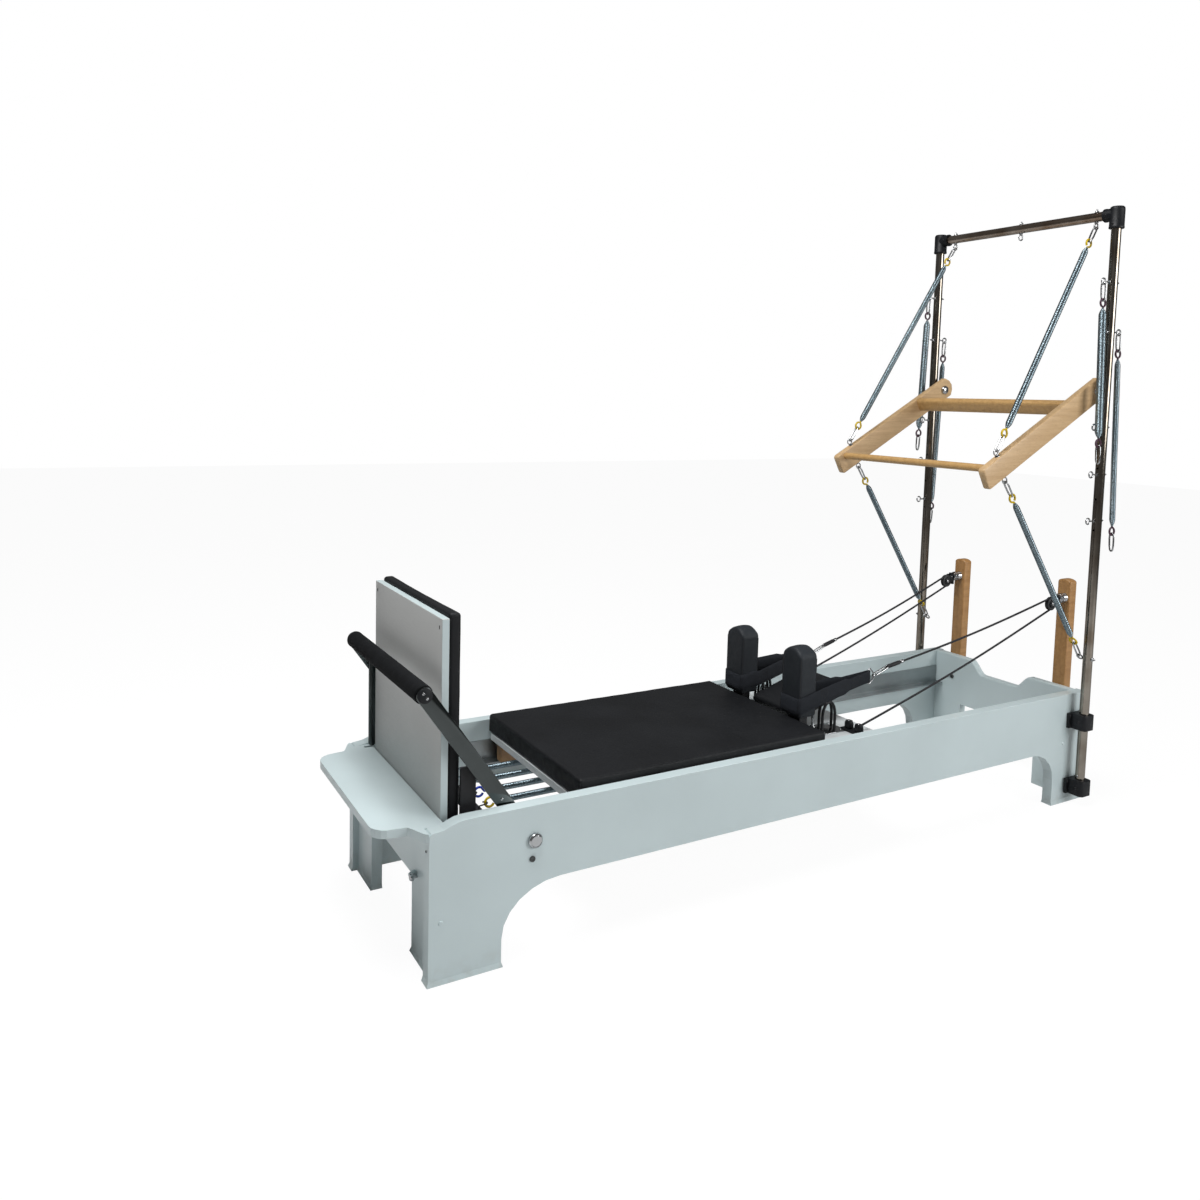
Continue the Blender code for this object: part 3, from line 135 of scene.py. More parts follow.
class Finish:
    """A material, whose pattern is placed by Object coordinates."""

    def __init__(self, name, colour, roughness, metallic=0.0):
        self.material = bpy.data.materials.new(name)
        self.material.use_nodes = True
        self.material.diffuse_color = (*colour, 1.0)
        self.tree = self.material.node_tree
        self.shader = self.tree.nodes["Principled BSDF"]
        self.place = self.node("ShaderNodeTexCoord", {}, {}, "Object")
        self.shade("Base Color", colour)
        self.shade("Roughness", roughness)
        self.shade("Metallic", metallic)

    def node(self, kind, settings, values, output=0):
        made = self.tree.nodes.new(kind)
        for key, setting in settings.items():
            if key == "stops":
                ramp = made.color_ramp
                for at, colour in setting[1:-1]:
                    ramp.elements.new(at)
                for element, (at, colour) in zip(ramp.elements, setting):
                    element.position = at
                    element.color = (*colour, 1.0)
            else:
                setattr(made, key, setting)
        for key, value in values.items():
            self.feed(made.inputs[key], value)
        return Value(self, made.outputs[output])

    def feed(self, socket, value):
        if isinstance(value, Value):
            self.tree.links.new(value.socket, socket)
        elif isinstance(value, tuple) and socket.type == "RGBA":
            socket.default_value = (*value, 1.0)
        else:
            socket.default_value = value

    def shade(self, socket, value):
        self.feed(self.shader.inputs[socket], value)

    def turned(self, scale=(1.0, 1.0, 1.0), turn=(0.0, 0.0, 0.0), shift=(0.0, 0.0, 0.0)):
        return self.node("ShaderNodeMapping", {}, {"Vector": self.place, "Scale": scale, "Rotation": turn,
                                                   "Location": shift})

    def noise(self, scale, detail=3.0, rough=0.5, at=None, distortion=0.0):
        return self.node("ShaderNodeTexNoise", {}, {"Vector": at or self.place, "Scale": scale, "Detail": detail,
                                                    "Roughness": rough, "Distortion": distortion})

    def blend(self, mask, first, second):
        return self.node("ShaderNodeMix", {"data_type": "RGBA"}, {0: mask, 6: first, 7: second}, 2)

    def ramp(self, value, *stops):
        return self.node("ShaderNodeValToRGB", {"stops": stops}, {"Fac": value})

    def fit(self, value, low, high, to_low=0.0, to_high=1.0):
        return self.node("ShaderNodeMapRange", {"clamp": True}, {0: value, 1: low, 2: high, 3: to_low, 4: to_high})

    def bump(self, height, strength, distance):
        made = self.node("ShaderNodeBump", {}, {"Height": height, "Strength": strength, "Distance": distance})
        self.shade("Normal", made)


def lacquer(name, colour, grime):
    """Sprayed paint: a faint orange peel, slow changes of tone, and greyer towards the floor."""
    paint = Finish(name, colour, 0.34)
    tone = paint.noise(3.5, 4.0)
    shade = tuple(c * 0.93 for c in colour)
    fresh = paint.blend(paint.fit(tone, 0.35, 0.70), colour, shade)
    height = paint.node("ShaderNodeSeparateXYZ", {}, {0: paint.place}, 2)
    scuff = paint.fit(height, 0.0, 0.06, 0.40, 0.0) * paint.fit(paint.noise(38.0, 5.0), 0.42, 0.70)
    paint.shade("Base Color", paint.blend(scuff, fresh, grime))
    paint.shade("Roughness", paint.fit(paint.noise(14.0, 4.0), 0.3, 0.7, 0.28, 0.40))
    paint.bump(paint.noise(520.0, 2.0), 0.06, 0.0004)
    paint.shade("Coat Weight", 0.25)
    paint.shade("Coat Roughness", 0.22)
    return paint.material


def coated_board(name, colour):
    """Melamine-faced board: a tight pebble in the face, and hairline rubbing."""
    board = Finish(name, colour, 0.42)
    tone = board.noise(2.2, 3.0)
    board.shade("Base Color", board.blend(board.fit(tone, 0.3, 0.7), colour, tuple(c * 0.90 for c in colour)))
    rub = board.noise(260.0, 2.0, at=board.turned(scale=(0.2, 0.2, 1.0)))
    board.shade("Roughness", board.fit(rub, 0.3, 0.7, 0.36, 0.50))
    board.bump(board.node("ShaderNodeTexVoronoi", {}, {"Vector": board.place, "Scale": 900.0}), 0.12, 0.0002)
    return board.material


def wood(name, turn, light, dark, pore):
    """Lacquered beech with its grain along the turned X axis: streaks, soft rings and short pores."""
    beech = Finish(name, light, 0.42)
    along = beech.turned(scale=(2.2, 26.0, 26.0), turn=turn)
    streak = beech.noise(2.6, 6.0, 0.62, at=along, distortion=0.4)
    rings = beech.node("ShaderNodeTexWave", {"wave_type": "RINGS", "rings_direction": "X"},
                       {"Vector": beech.turned(scale=(0.9, 9.0, 9.0), turn=turn, shift=(0.2, 0.7, 0.3)),
                        "Scale": 2.0, "Distortion": 5.0, "Detail": 3.0, "Detail Scale": 1.2}, 1)
    body = beech.ramp(streak, (0.25, dark), (0.52, light), (0.80, tuple(min(1.0, c * 1.16) for c in light)))
    body = beech.blend(beech.fit(rings, 0.55, 1.0, 0.0, 0.35), body, dark)
    flecks = beech.noise(1.0, 2.0, at=beech.turned(scale=(70.0, 900.0, 900.0), turn=turn))
    fleck = beech.fit(flecks, 0.62, 0.74)
    beech.shade("Base Color", beech.blend(fleck * 0.6, body, pore))
    beech.shade("Roughness", beech.fit(streak, 0.3, 0.7, 0.36, 0.50))
    beech.bump(streak * 0.5 - fleck * 0.5, 0.20, 0.0005)
    beech.shade("Coat Weight", 0.3)
    beech.shade("Coat Roughness", 0.25)
    return beech.material


def vinyl(name, colour, scale=420.0):
    """Upholstery vinyl: a pebbled leather grain with finer creases between the pebbles."""
    skin = Finish(name, colour, 0.48)
    pebble = skin.node("ShaderNodeTexVoronoi", {"feature": "DISTANCE_TO_EDGE"},
                       {"Vector": skin.place, "Scale": scale, "Randomness": 0.9})
    crease = skin.fit(pebble, 0.0, 0.16)
    soft = skin.noise(5.0, 4.0)
    skin.shade("Base Color", skin.blend(skin.fit(soft, 0.35, 0.7), colour, tuple(c * 1.5 for c in colour)))
    skin.shade("Roughness", skin.fit(skin.noise(60.0, 4.0), 0.3, 0.7, 0.40, 0.55))
    skin.bump(crease * 0.7 + skin.noise(34.0, 3.0) * 1.6, 0.30, 0.0009)
    skin.shade("Specular IOR Level", 0.20)
    return skin.material


def webbing(name, colour, across):
    """Woven tape: short ribs across its height, each broken into picks along it."""
    tape = Finish(name, colour, 0.85)
    rib = tape.node("ShaderNodeTexWave", {"bands_direction": across}, {"Vector": tape.place, "Scale": 190.0})
    pick = tape.node("ShaderNodeTexWave", {"bands_direction": "X"}, {"Vector": tape.place, "Scale": 120.0,
                                                                   "Distortion": 1.0})
    weave = rib * pick
    tape.shade("Base Color", tape.blend(weave, colour, tuple(c * 2.4 for c in colour)))
    tape.bump(weave, 0.6, 0.0006)
    tape.shade("Specular IOR Level", 0.3)
    return tape.material


def braid(name, colour):
    """Braided cord, whose strands cross on the UV map that runs round and along it."""
    cord = Finish(name, colour, 0.8)
    chart = cord.node("ShaderNodeUVMap", {}, {})
    waves = []
    for slant in (2.0, -2.0):
        slanted = cord.node("ShaderNodeMapping", {}, {"Vector": chart, "Scale": (2.0, slant, 0.0)})
        waves.append(cord.node("ShaderNodeTexWave", {"bands_direction": "DIAGONAL"},
                               {"Vector": slanted, "Scale": 1.0}))
    strands = cord.node("ShaderNodeMath", {"operation": "MAXIMUM"}, {0: waves[0], 1: waves[1]})
    cord.shade("Base Color", cord.blend(strands, tuple(c * 0.5 for c in colour), tuple(c * 1.8 for c in colour)))
    cord.bump(strands, 0.7, 0.0006)
    return cord.material


def metal(name, colour, roughness, streak=(1.0, 1.0, 1.0), dull=0.08, tint=None):
    """Bare or plated metal with fine drawing marks along one axis and a few duller patches."""
    steel = Finish(name, colour, roughness, 1.0)
    lines = steel.noise(300.0, 3.0, 0.6, at=steel.turned(scale=streak))
    patch = steel.noise(11.0, 4.0)
    marks = steel.fit(lines, 0.3, 0.7, roughness * 0.75, roughness * 1.25)
    steel.shade("Roughness", marks + steel.fit(patch, 0.5, 0.75, 0.0, dull))
    other = tint or tuple(c * 0.85 for c in colour)
    steel.shade("Base Color", steel.blend(steel.fit(patch, 0.35, 0.68), colour, other))
    steel.bump(lines, 0.08, 0.0002)
    return steel.material


def plastic(name, colour, roughness):
    """Moulded nylon: a spark-eroded mould's fine texture, and a dusty bloom."""
    shell = Finish(name, colour, roughness)
    bloom = shell.fit(shell.noise(46.0, 5.0), 0.5, 0.8)
    shell.shade("Base Color", shell.blend(bloom * 0.35, colour, tuple(c * 1.2 + 0.008 for c in colour)))
    shell.shade("Roughness", shell.fit(shell.noise(90.0, 4.0), 0.3, 0.7, roughness - 0.06, roughness + 0.10))
    shell.bump(shell.noise(1500.0, 2.0), 0.18, 0.0002)
    shell.shade("Specular IOR Level", 0.30)
    return shell.material


def foam_grip(name, colour):
    """Closed-cell foam: tiny cells and a dry, matt face."""
    foam = Finish(name, colour, 0.86)
    cells = foam.node("ShaderNodeTexVoronoi", {}, {"Vector": foam.place, "Scale": 1100.0})
    foam.shade("Base Color", foam.blend(foam.fit(foam.noise(30.0), 0.4, 0.7), colour, tuple(c * 1.7 for c in colour)))
    foam.bump(cells, 0.35, 0.0005)
    foam.shade("Specular IOR Level", 0.15)
    return foam.material


WHITE = lacquer("white_lacquer_finish", (0.585, 0.685, 0.70), (0.40, 0.41, 0.38))
BOARD = coated_board("coated_board_finish", (0.68, 0.72, 0.73))
BLACK_VINYL = vinyl("black_vinyl_finish", (0.0085, 0.0092, 0.0105))
REST_VINYL = vinyl("shoulder_rest_vinyl_finish", (0.019, 0.022, 0.026), 520.0)
STITCH = plastic("stitching_finish", (0.028, 0.028, 0.030), 0.7)
FOAM = foam_grip("foam_finish", (0.0045, 0.0050, 0.0058))
WEB = webbing("webbing_finish", (0.012, 0.014, 0.018), "Z")
CORD = braid("braided_cord_finish", (0.014, 0.014, 0.016))
SLEEVE = plastic("rope_sleeve_finish", (0.018, 0.018, 0.020), 0.5)
TUBE_STEEL = metal("stainless_tube_finish", (0.33, 0.30, 0.26), 0.12, (1.0, 1.0, 0.02), 0.04, (0.20, 0.165, 0.13))
BAR_STEEL = metal("crossbar_tube_finish", (0.46, 0.39, 0.33), 0.15, (1.0, 0.02, 1.0), 0.05, (0.26, 0.19, 0.14))
FLAT_STEEL = metal("polished_flat_bar_finish", (0.085, 0.095, 0.095), 0.08, (1.0, 1.0, 0.05), 0.03)
SPRING = metal("plated_spring_finish", (0.33, 0.41, 0.45), 0.26, (1.0, 1.0, 1.0), 0.08, (0.24, 0.31, 0.35))
ZINC = metal("zinc_screw_finish", (0.11, 0.115, 0.115), 0.48)
CHROME = metal("chrome_fitting_finish", (0.50, 0.51, 0.52), 0.17)
TRACK = metal("track_extrusion_finish", (0.36, 0.39, 0.40), 0.36, (0.02, 1.0, 1.0))
DARK_STEEL = plastic("dark_steel_finish", (0.018, 0.018, 0.020), 0.42)
BLACK_NYLON = plastic("black_nylon_finish", (0.006, 0.007, 0.009), 0.46)
GREY_NYLON = plastic("grey_nylon_finish", (0.036, 0.037, 0.040), 0.45)
YELLOW_EYE = plastic("yellow_eye_finish", (0.60, 0.42, 0.008), 0.36)
PURPLE_EYE = plastic("plum_eye_finish", (0.070, 0.030, 0.050), 0.38)
BLUE_EYE = plastic("blue_eye_finish", (0.012, 0.045, 0.42), 0.38)
BOARD_FACE = coated_board("board_face_finish", (0.58, 0.59, 0.58))
HOLE = plastic("hole_shadow_finish", (0.006, 0.006, 0.006), 0.9)
LIGHT, DEEP, PORE = (0.62, 0.42, 0.22), (0.52, 0.33, 0.16), (0.26, 0.14, 0.06)
WOOD_X = wood("beech_along_bed_finish", (0.0, 0.0, 0.0), (0.40, 0.22, 0.09), (0.30, 0.16, 0.065), PORE)
WOOD_Y = wood("beech_across_bed_finish", (0.0, 0.0, math.pi / 2), (0.56, 0.34, 0.13), (0.45, 0.25, 0.085), PORE)
WOOD_Z = wood("beech_upright_finish", (0.0, math.pi / 2, 0.0), (0.44, 0.235, 0.085), (0.34, 0.165, 0.052),
              (0.17, 0.080, 0.028))
WOOD_ARM = wood("beech_arm_finish", (0.0, PUSH_ANGLE, 0.0), LIGHT, DEEP, PORE)


# Mesh helpers. Each add_ function adds one shape to a bmesh.

def turn_to(direction):
    return Vector((0, 0, 1)).rotation_difference(Vector(direction).normalized()).to_matrix().to_4x4()


def fresh(bm, old):
    return [v for v in bm.verts if v not in old]


def round_edges(bm, edges, width, segments):
    bmesh.ops.bevel(bm, geom=edges, offset=width, offset_type="OFFSET", segments=segments, profile=0.5,
                    affect="EDGES", clamp_overlap=True, material=-1)


def add_box(bm, low, high, bevel=0.0, segments=3):
    old = set(bm.verts)
    low, high = Vector(low), Vector(high)
    place = Matrix.Translation((low + high) / 2) @ Matrix.Diagonal((*(high - low), 1.0))
    bmesh.ops.create_cube(bm, size=1.0, matrix=place)
    if bevel:
        round_edges(bm, [e for e in bm.edges if e.verts[0] not in old], bevel, segments)


def add_turned(bm, profile, at, axis, sides=32):
    """A body turned about an axis. The profile is (radius, height) pairs, closed round a bore if it has one."""
    old = set(bm.verts)
    rows = [bm.verts.new((radius, 0.0, height)) for radius, height in profile]
    edges = [bm.edges.new(pair) for pair in zip(rows, rows[1:])]
    if min(radius for radius, _ in profile) > 0:
        edges.append(bm.edges.new((rows[-1], rows[0])))
    bmesh.ops.spin(bm, geom=rows + edges, cent=(0, 0, 0), axis=(0, 0, 1), angle=math.tau, steps=sides,
                   use_merge=True, use_duplicate=False)
    bmesh.ops.remove_doubles(bm, verts=fresh(bm, old), dist=1e-6)
    bmesh.ops.transform(bm, matrix=Matrix.Translation(at) @ turn_to(axis), verts=fresh(bm, old))


def add_capped(bm, profile, at, axis, sides=32):
    """A turned body without a bore. Its profile is led straight to the axis at both ends."""
    add_turned(bm, [(0.0, profile[0][1])] + profile + [(0.0, profile[-1][1])], at, axis, sides)


def add_plate(bm, outline, plane, low, high, bevel=0.0, segments=2):
    """A prism on a closed outline. plane names the outline's two axes; low and high are on the third."""
    old = set(bm.verts)
    first, second = ("XYZ".index(letter) for letter in plane)
    third = 3 - first - second
    points = []
    for a, b in outline:
        point = [0.0, 0.0, 0.0]
        point[first], point[second], point[third] = a, b, low
        points.append(bm.verts.new(point))
    face = bm.faces.new(points)
    grown = bmesh.ops.extrude_face_region(bm, geom=[face])["geom"]
    shift = [0.0, 0.0, 0.0]
    shift[third] = high - low
    bmesh.ops.translate(bm, vec=shift, verts=[v for v in grown if isinstance(v, bmesh.types.BMVert)])
    if bevel:
        edges = [e for e in bm.edges if e.verts[0] not in old
                 and abs(e.verts[0].co[third] - e.verts[1].co[third]) < 1e-6]
        round_edges(bm, edges, bevel, segments)


def add_wire(bm, points, radii, closed=False, sides=3, smooth=True):
    """A round bar along a route, through a curve. radii is one radius, or one for each point."""
    curve = bpy.data.curves.new("route", "CURVE")
    curve.dimensions = "3D"
    curve.bevel_depth = 1.0
    curve.bevel_resolution = sides
    curve.use_fill_caps = True
    spline = curve.splines.new("POLY")
    spline.points.add(len(points) - 1)
    for i, point in enumerate(points):
        spline.points[i].co = (*point, 1.0)
        spline.points[i].radius = radii if isinstance(radii, float) else radii[i]
    spline.use_cyclic_u = closed
    holder = bpy.data.objects.new("route", curve)
    mesh = bpy.data.meshes.new_from_object(holder)
    old = set(bm.verts)
    bm.from_mesh(mesh)
    bmesh.ops.remove_doubles(bm, verts=fresh(bm, old), dist=1e-6)
    bpy.data.objects.remove(holder)
    bpy.data.curves.remove(curve)
    bpy.data.meshes.remove(mesh)


def add_hex(bm, at, axis, across, depth):
    """A hexagon head or nut with chamfered corners."""
    radius = across / math.sqrt(3)
    add_capped(bm, [(radius, 0.0), (radius, depth * 0.8), (radius * 0.86, depth)],
               at, axis, 6)


def arc(centre, radii, start, end, steps):
    angles = [math.radians(start + (end - start) * i / steps) for i in range(steps + 1)]
    return [(centre[0] + radii[0] * math.cos(a), centre[1] + radii[1] * math.sin(a)) for a in angles]


def span(side, inner, outer):
    return sorted((side * inner, side * outer))


def stadium(start, end, radius, steps=16):
    turn = math.degrees(math.atan2(end[1] - start[1], end[0] - start[0]))
    return (arc(start, (radius, radius), turn + 90, turn + 270, steps)
            + arc(end, (radius, radius), turn - 90, turn + 90, steps))


def placed(name, bm):
    """Moves the mesh into the CAD's frame and makes an object of it."""
    bmesh.ops.recalc_face_normals(bm, faces=bm.faces)
    bmesh.ops.translate(bm, vec=(-CENTRE_X, 0, 0), verts=bm.verts)
    mesh = bpy.data.meshes.new(name)
    bm.to_mesh(mesh)
    bm.free()
    thing = bpy.data.objects.new(name, mesh)
    bpy.context.collection.objects.link(thing)
    return thing


def shade(mesh, angle):
    mesh.shade_smooth()
    mesh.set_sharp_from_angle(angle=math.radians(angle))


def finish(name, bm, look, body, slot, smooth=35, stands_for=()):
    """Makes the piece and joins it to a body, when one is given."""
    bmesh.ops.remove_doubles(bm, verts=bm.verts, dist=1e-6)
    piece = placed(name, bm)
    shade(piece.data, smooth)
    piece.data.materials.append(look)
    if body:
        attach(piece, body)
    if stands_for:
        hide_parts(*stands_for)
    return piece


def dress(look, *nodes):
    """Gives CAD nodes that stay their finish."""
    for name in nodes:
        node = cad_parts[name]
        node.data.materials.clear()
        node.data.materials.append(look)


# Camera, light and floor come first.

def camera():
    """The photograph's camera, solved from the rails' corners."""
    eye = Vector((-0.7575 - CENTRE_X, -2.4238, 1.3898))
    yaw, pitch, roll = 1.0421, -0.0819, 0.0258
    forward = Vector((math.cos(pitch) * math.cos(yaw), math.cos(pitch) * math.sin(yaw), math.sin(pitch)))
    right = Vector((math.sin(yaw), -math.cos(yaw), 0.0))
    up = right.cross(forward)
    side = math.cos(roll) * right + math.sin(roll) * up
    top = -math.sin(roll) * right + math.cos(roll) * up
    data = bpy.data.cameras.new("photo_camera")
    data.sensor_width = 36.0
    data.sensor_fit = "HORIZONTAL"
    data.lens = 978.0959 / 1200 * 36.0
    data.shift_x = (600.0 - 611.2362) / 1200
    data.shift_y = (477.5109 - 600.0) / 1200
    data.clip_end = 60.0
    thing = bpy.data.objects.new("photo_camera", data)
    thing.matrix_world = Matrix((side, top, -forward)).transposed().to_4x4()
    thing.location = eye
    bpy.context.collection.objects.link(thing)
    bpy.context.scene.camera = thing


def softbox(name, at, aim, size, power):
    data = bpy.data.lights.new(name, "AREA")
    data.shape = "RECTANGLE"
    data.size, data.size_y = size
    data.energy = power
    lamp = bpy.data.objects.new(name, data)
    lamp.location = at
    lamp.rotation_euler = (Vector(aim) - Vector(at)).to_track_quat("-Z", "Y").to_euler()
    bpy.context.collection.objects.link(lamp)


def studio():
    softbox("overhead_softbox", (-1.45, -0.3, 4.3), (-1.35, 0.0, 0.4), (1.7, 2.6), 185.0)
    softbox("key_softbox", (2.6, -4.2, 2.2), (0.3, 0.0, 0.5), (2.5, 2.2), 122.0)
    softbox("foot_softbox", (-4.0, -2.5, 2.4), (0.0, 0.0, 0.6), (2.0, 2.0), 1.0)
    world = bpy.data.worlds.new("studio_world")
    bpy.context.scene.world = world
    world.use_nodes = True
    tree = world.node_tree
    air = tree.nodes["Background"]
    air.inputs["Color"].default_value = (1.0, 1.0, 1.0, 1.0)
    path = tree.nodes.new("ShaderNodeLightPath")
    seen = tree.nodes.new("ShaderNodeMath")
    seen.operation = "MAXIMUM"
    tree.links.new(path.outputs["Is Camera Ray"], seen.inputs[0])
    tree.links.new(path.outputs["Is Transmission Ray"], seen.inputs[1])
    strength = tree.nodes.new("ShaderNodeMix")
    strength.inputs["A"].default_value = 0.12
    strength.inputs["B"].default_value = 1.0
    tree.links.new(seen.outputs[0], strength.inputs["Factor"])
    tree.links.new(strength.outputs["Result"], air.inputs["Strength"])

    bm = bmesh.new()
    bmesh.ops.create_grid(bm, x_segments=1, y_segments=1, size=16.0)
    mesh = bpy.data.meshes.new("studio_floor")
    bm.to_mesh(mesh)
    bm.free()
    ground = Finish("studio_floor_finish", (0.66, 0.66, 0.66), 0.9)
    glow = ground.node("ShaderNodeEmission", {}, {"Color": (1.0, 1.0, 1.0), "Strength": 1.06})
    mix = ground.tree.nodes.new("ShaderNodeMixShader")
    output = ground.tree.nodes["Material Output"]
    seen = ground.node("ShaderNodeLightPath", {}, {}, "Is Camera Ray")
    ground.feed(mix.inputs[0], seen * 0.90)
    ground.tree.links.new(ground.shader.outputs[0], mix.inputs[1])
    ground.feed(mix.inputs[2], glow)
    ground.tree.links.new(mix.outputs[0], output.inputs["Surface"])
    mesh.materials.append(ground.material)
    floor = bpy.data.objects.new("studio_floor", mesh)
    floor.location = (0.0, 0.0, -0.0005)
    bpy.context.collection.objects.link(floor)


bpy.context.scene.view_settings.view_transform = "Standard"
camera()
studio()


# The bed keeps its CAD solids, with rounded edges, and gets its fittings.

def soften(width, *nodes):
    """Rounds the edges of CAD nodes, whose triangles are loose until they are welded."""
    for name in nodes:
        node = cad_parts[name]
        weld = node.modifiers.new("weld", "WELD")
        weld.merge_threshold = 0.00002
        bevel = node.modifiers.new("rounded_edges", "BEVEL")
        bevel.width = width
        bevel.segments = 2
        bevel.limit_method = "ANGLE"
        bevel.angle_limit = math.radians(35)


def bed():
    dress(WHITE, "near_side_rail", "far_side_rail", "foot_end_panel", "head_end_panel", "foot_platform")
    dress(BOARD, "carriage_deck")
    dress(TRACK, "near_track", "far_track")
    dress(WOOD_X, "near_carriage_runner", "far_carriage_runner")
    dress(BLACK_NYLON, "near_front_wheel", "far_front_wheel", "near_rear_wheel", "far_rear_wheel")
    dress(DARK_STEEL, "spring_bar")
    dress(CHROME, "carriage_spring_bar")
    soften(0.0022, "near_side_rail", "far_side_rail", "foot_end_panel", "head_end_panel")
    soften(0.0012, "carriage_deck", "near_carriage_runner", "far_carriage_runner")
    soften(0.0006, "near_track", "far_track", "spring_bar")
    screws = bmesh.new()
    for side in (-1, 1):
        face = side * RAIL_FACE
        add_capped(screws, [(0.0076, 0.0), (0.0076, 0.0034), (0.0066, 0.0046), (0.0034, 0.0050),
                            (0.0032, 0.0040)], (0.2650, face - side * 0.0004, 0.255), (0, side, 0), 24)
        add_screw(screws, (2.402, side * 0.217, 0.304), (-1, 0, 0), 0.0090)
        add_screw(screws, (0.0, side * 0.3155, 0.368 if side > 0 else 0.322), (-1, 0, 0), 0.0034)
        for x in (0.38, 0.88, 1.38, 1.88, 2.30):
            add_screw(screws, (x, side * (RAIL_INNER - 0.0013), 0.315), (0, -side, 0), 0.0045)
    knob = [(0.0, 0.0), (0.0045, 0.0), (0.0045, 0.008), (0.0085, 0.009), (0.0095, 0.013), (0.0080, 0.018),
            (0.0, 0.019)]
    finish("bed_screws", screws, ZINC, "frame", "stainless_steel")
    level = bmesh.new()
    add_turned(level, knob, (0.0158, -0.208, 0.211), (-1, 0, 0), 24)
    finish("foot_panel_knob", level, CHROME, "frame", "stainless_steel")


def add_screw(bm, at, axis, radius):
    """A pan-head screw with a hexagon socket."""
    hollow = radius * 0.50
    at = Vector(at) - Vector(axis).normalized() * 0.0004
    add_turned(bm, [(0.0, 0.0), (radius, 0.0), (radius, radius * 0.25), (radius * 0.72, radius * 0.55),
                    (hollow, radius * 0.60), (hollow * 0.96, radius * 0.18), (0.0, radius * 0.16)], at, axis, 18)


# Cushions

def cushion(low, high, edge, crown, pull, axis=2, step=0.016, ripple=0.0007, top_edge=0.0):
    """A stuffed pad: crowned, drawn in between its corners, with slack and tension marks in the cover."""
    bm = bmesh.new()
    add_box(bm, low, high)
    low, high = Vector(low), Vector(high)
    middle, half = (low + high) / 2, (high - low) / 2
    for i in range(3):
        normal = Vector([float(k == i) for k in range(3)])
        inner = half[i] - edge
        count = max(2, round(2 * inner / step))
        cuts = [inner * (2 * n / count - 1) for n in range(count + 1)]
        cuts += [way * (inner + edge * share) for share in (0.3, 0.6, 0.85) for way in (-1, 1)]
        for cut in cuts:
            geometry = bm.verts[:] + bm.edges[:] + bm.faces[:]
            bmesh.ops.bisect_plane(bm, geom=geometry, dist=1e-6, plane_co=middle + normal * cut, plane_no=normal)
    a, b = [i for i in range(3) if i != axis]
    for vert in bm.verts:
        local = vert.co - middle
        core = Vector([max(edge - half[i], min(half[i] - edge, local[i])) for i in range(3)])
        away = local - core
        if away.length > 1e-6:
            local = core + away.normalized() * edge
        u, v = local[a] / half[a], local[b] / half[b]
        if local[axis] > 0:
            local[axis] -= crown * (1 - (1 - u * u) * (1 - v * v))
        local[a] -= pull * u * (1 - v * v)
        local[b] -= pull * v * (1 - u * u)
        rim = max(abs(u), abs(v)) ** 6
        folds = math.sin(local[a] * 310 + 2.0 * noise.noise(local * 9)) * math.sin(local[b] * 270)
        out = away.normalized() if away.length > 1e-6 else Vector((0, 0, 0))
        wave = noise.noise((middle + local) * 13) + 0.5 * noise.noise((middle + local) * 37) - 0.9
        vert.co = middle + local + out * ripple * (0.7 * wave + 0.35 * rim * folds)
    return bm


def add_welt(bm, points, radius=0.0011):
    add_wire(bm, points, radius)


def add_stitches(bm, points):
    """Short raised stitches, end to end along a line."""
    pitch, thick = 0.0042, 0.0004
    for start, end in zip(points, points[1:]):
        start, end = Vector(start), Vector(end)
        count = max(1, round((end - start).length / pitch))
        for n in range(count):
            at = start.lerp(end, (n + 0.5) / count)
            place = Matrix.Translation(at) @ turn_to(end - start)
            place = place @ Matrix.Diagonal((thick * 2, thick * 2, pitch * 0.66, 1.0))
            bmesh.ops.create_cube(bm, size=1.0, matrix=place)


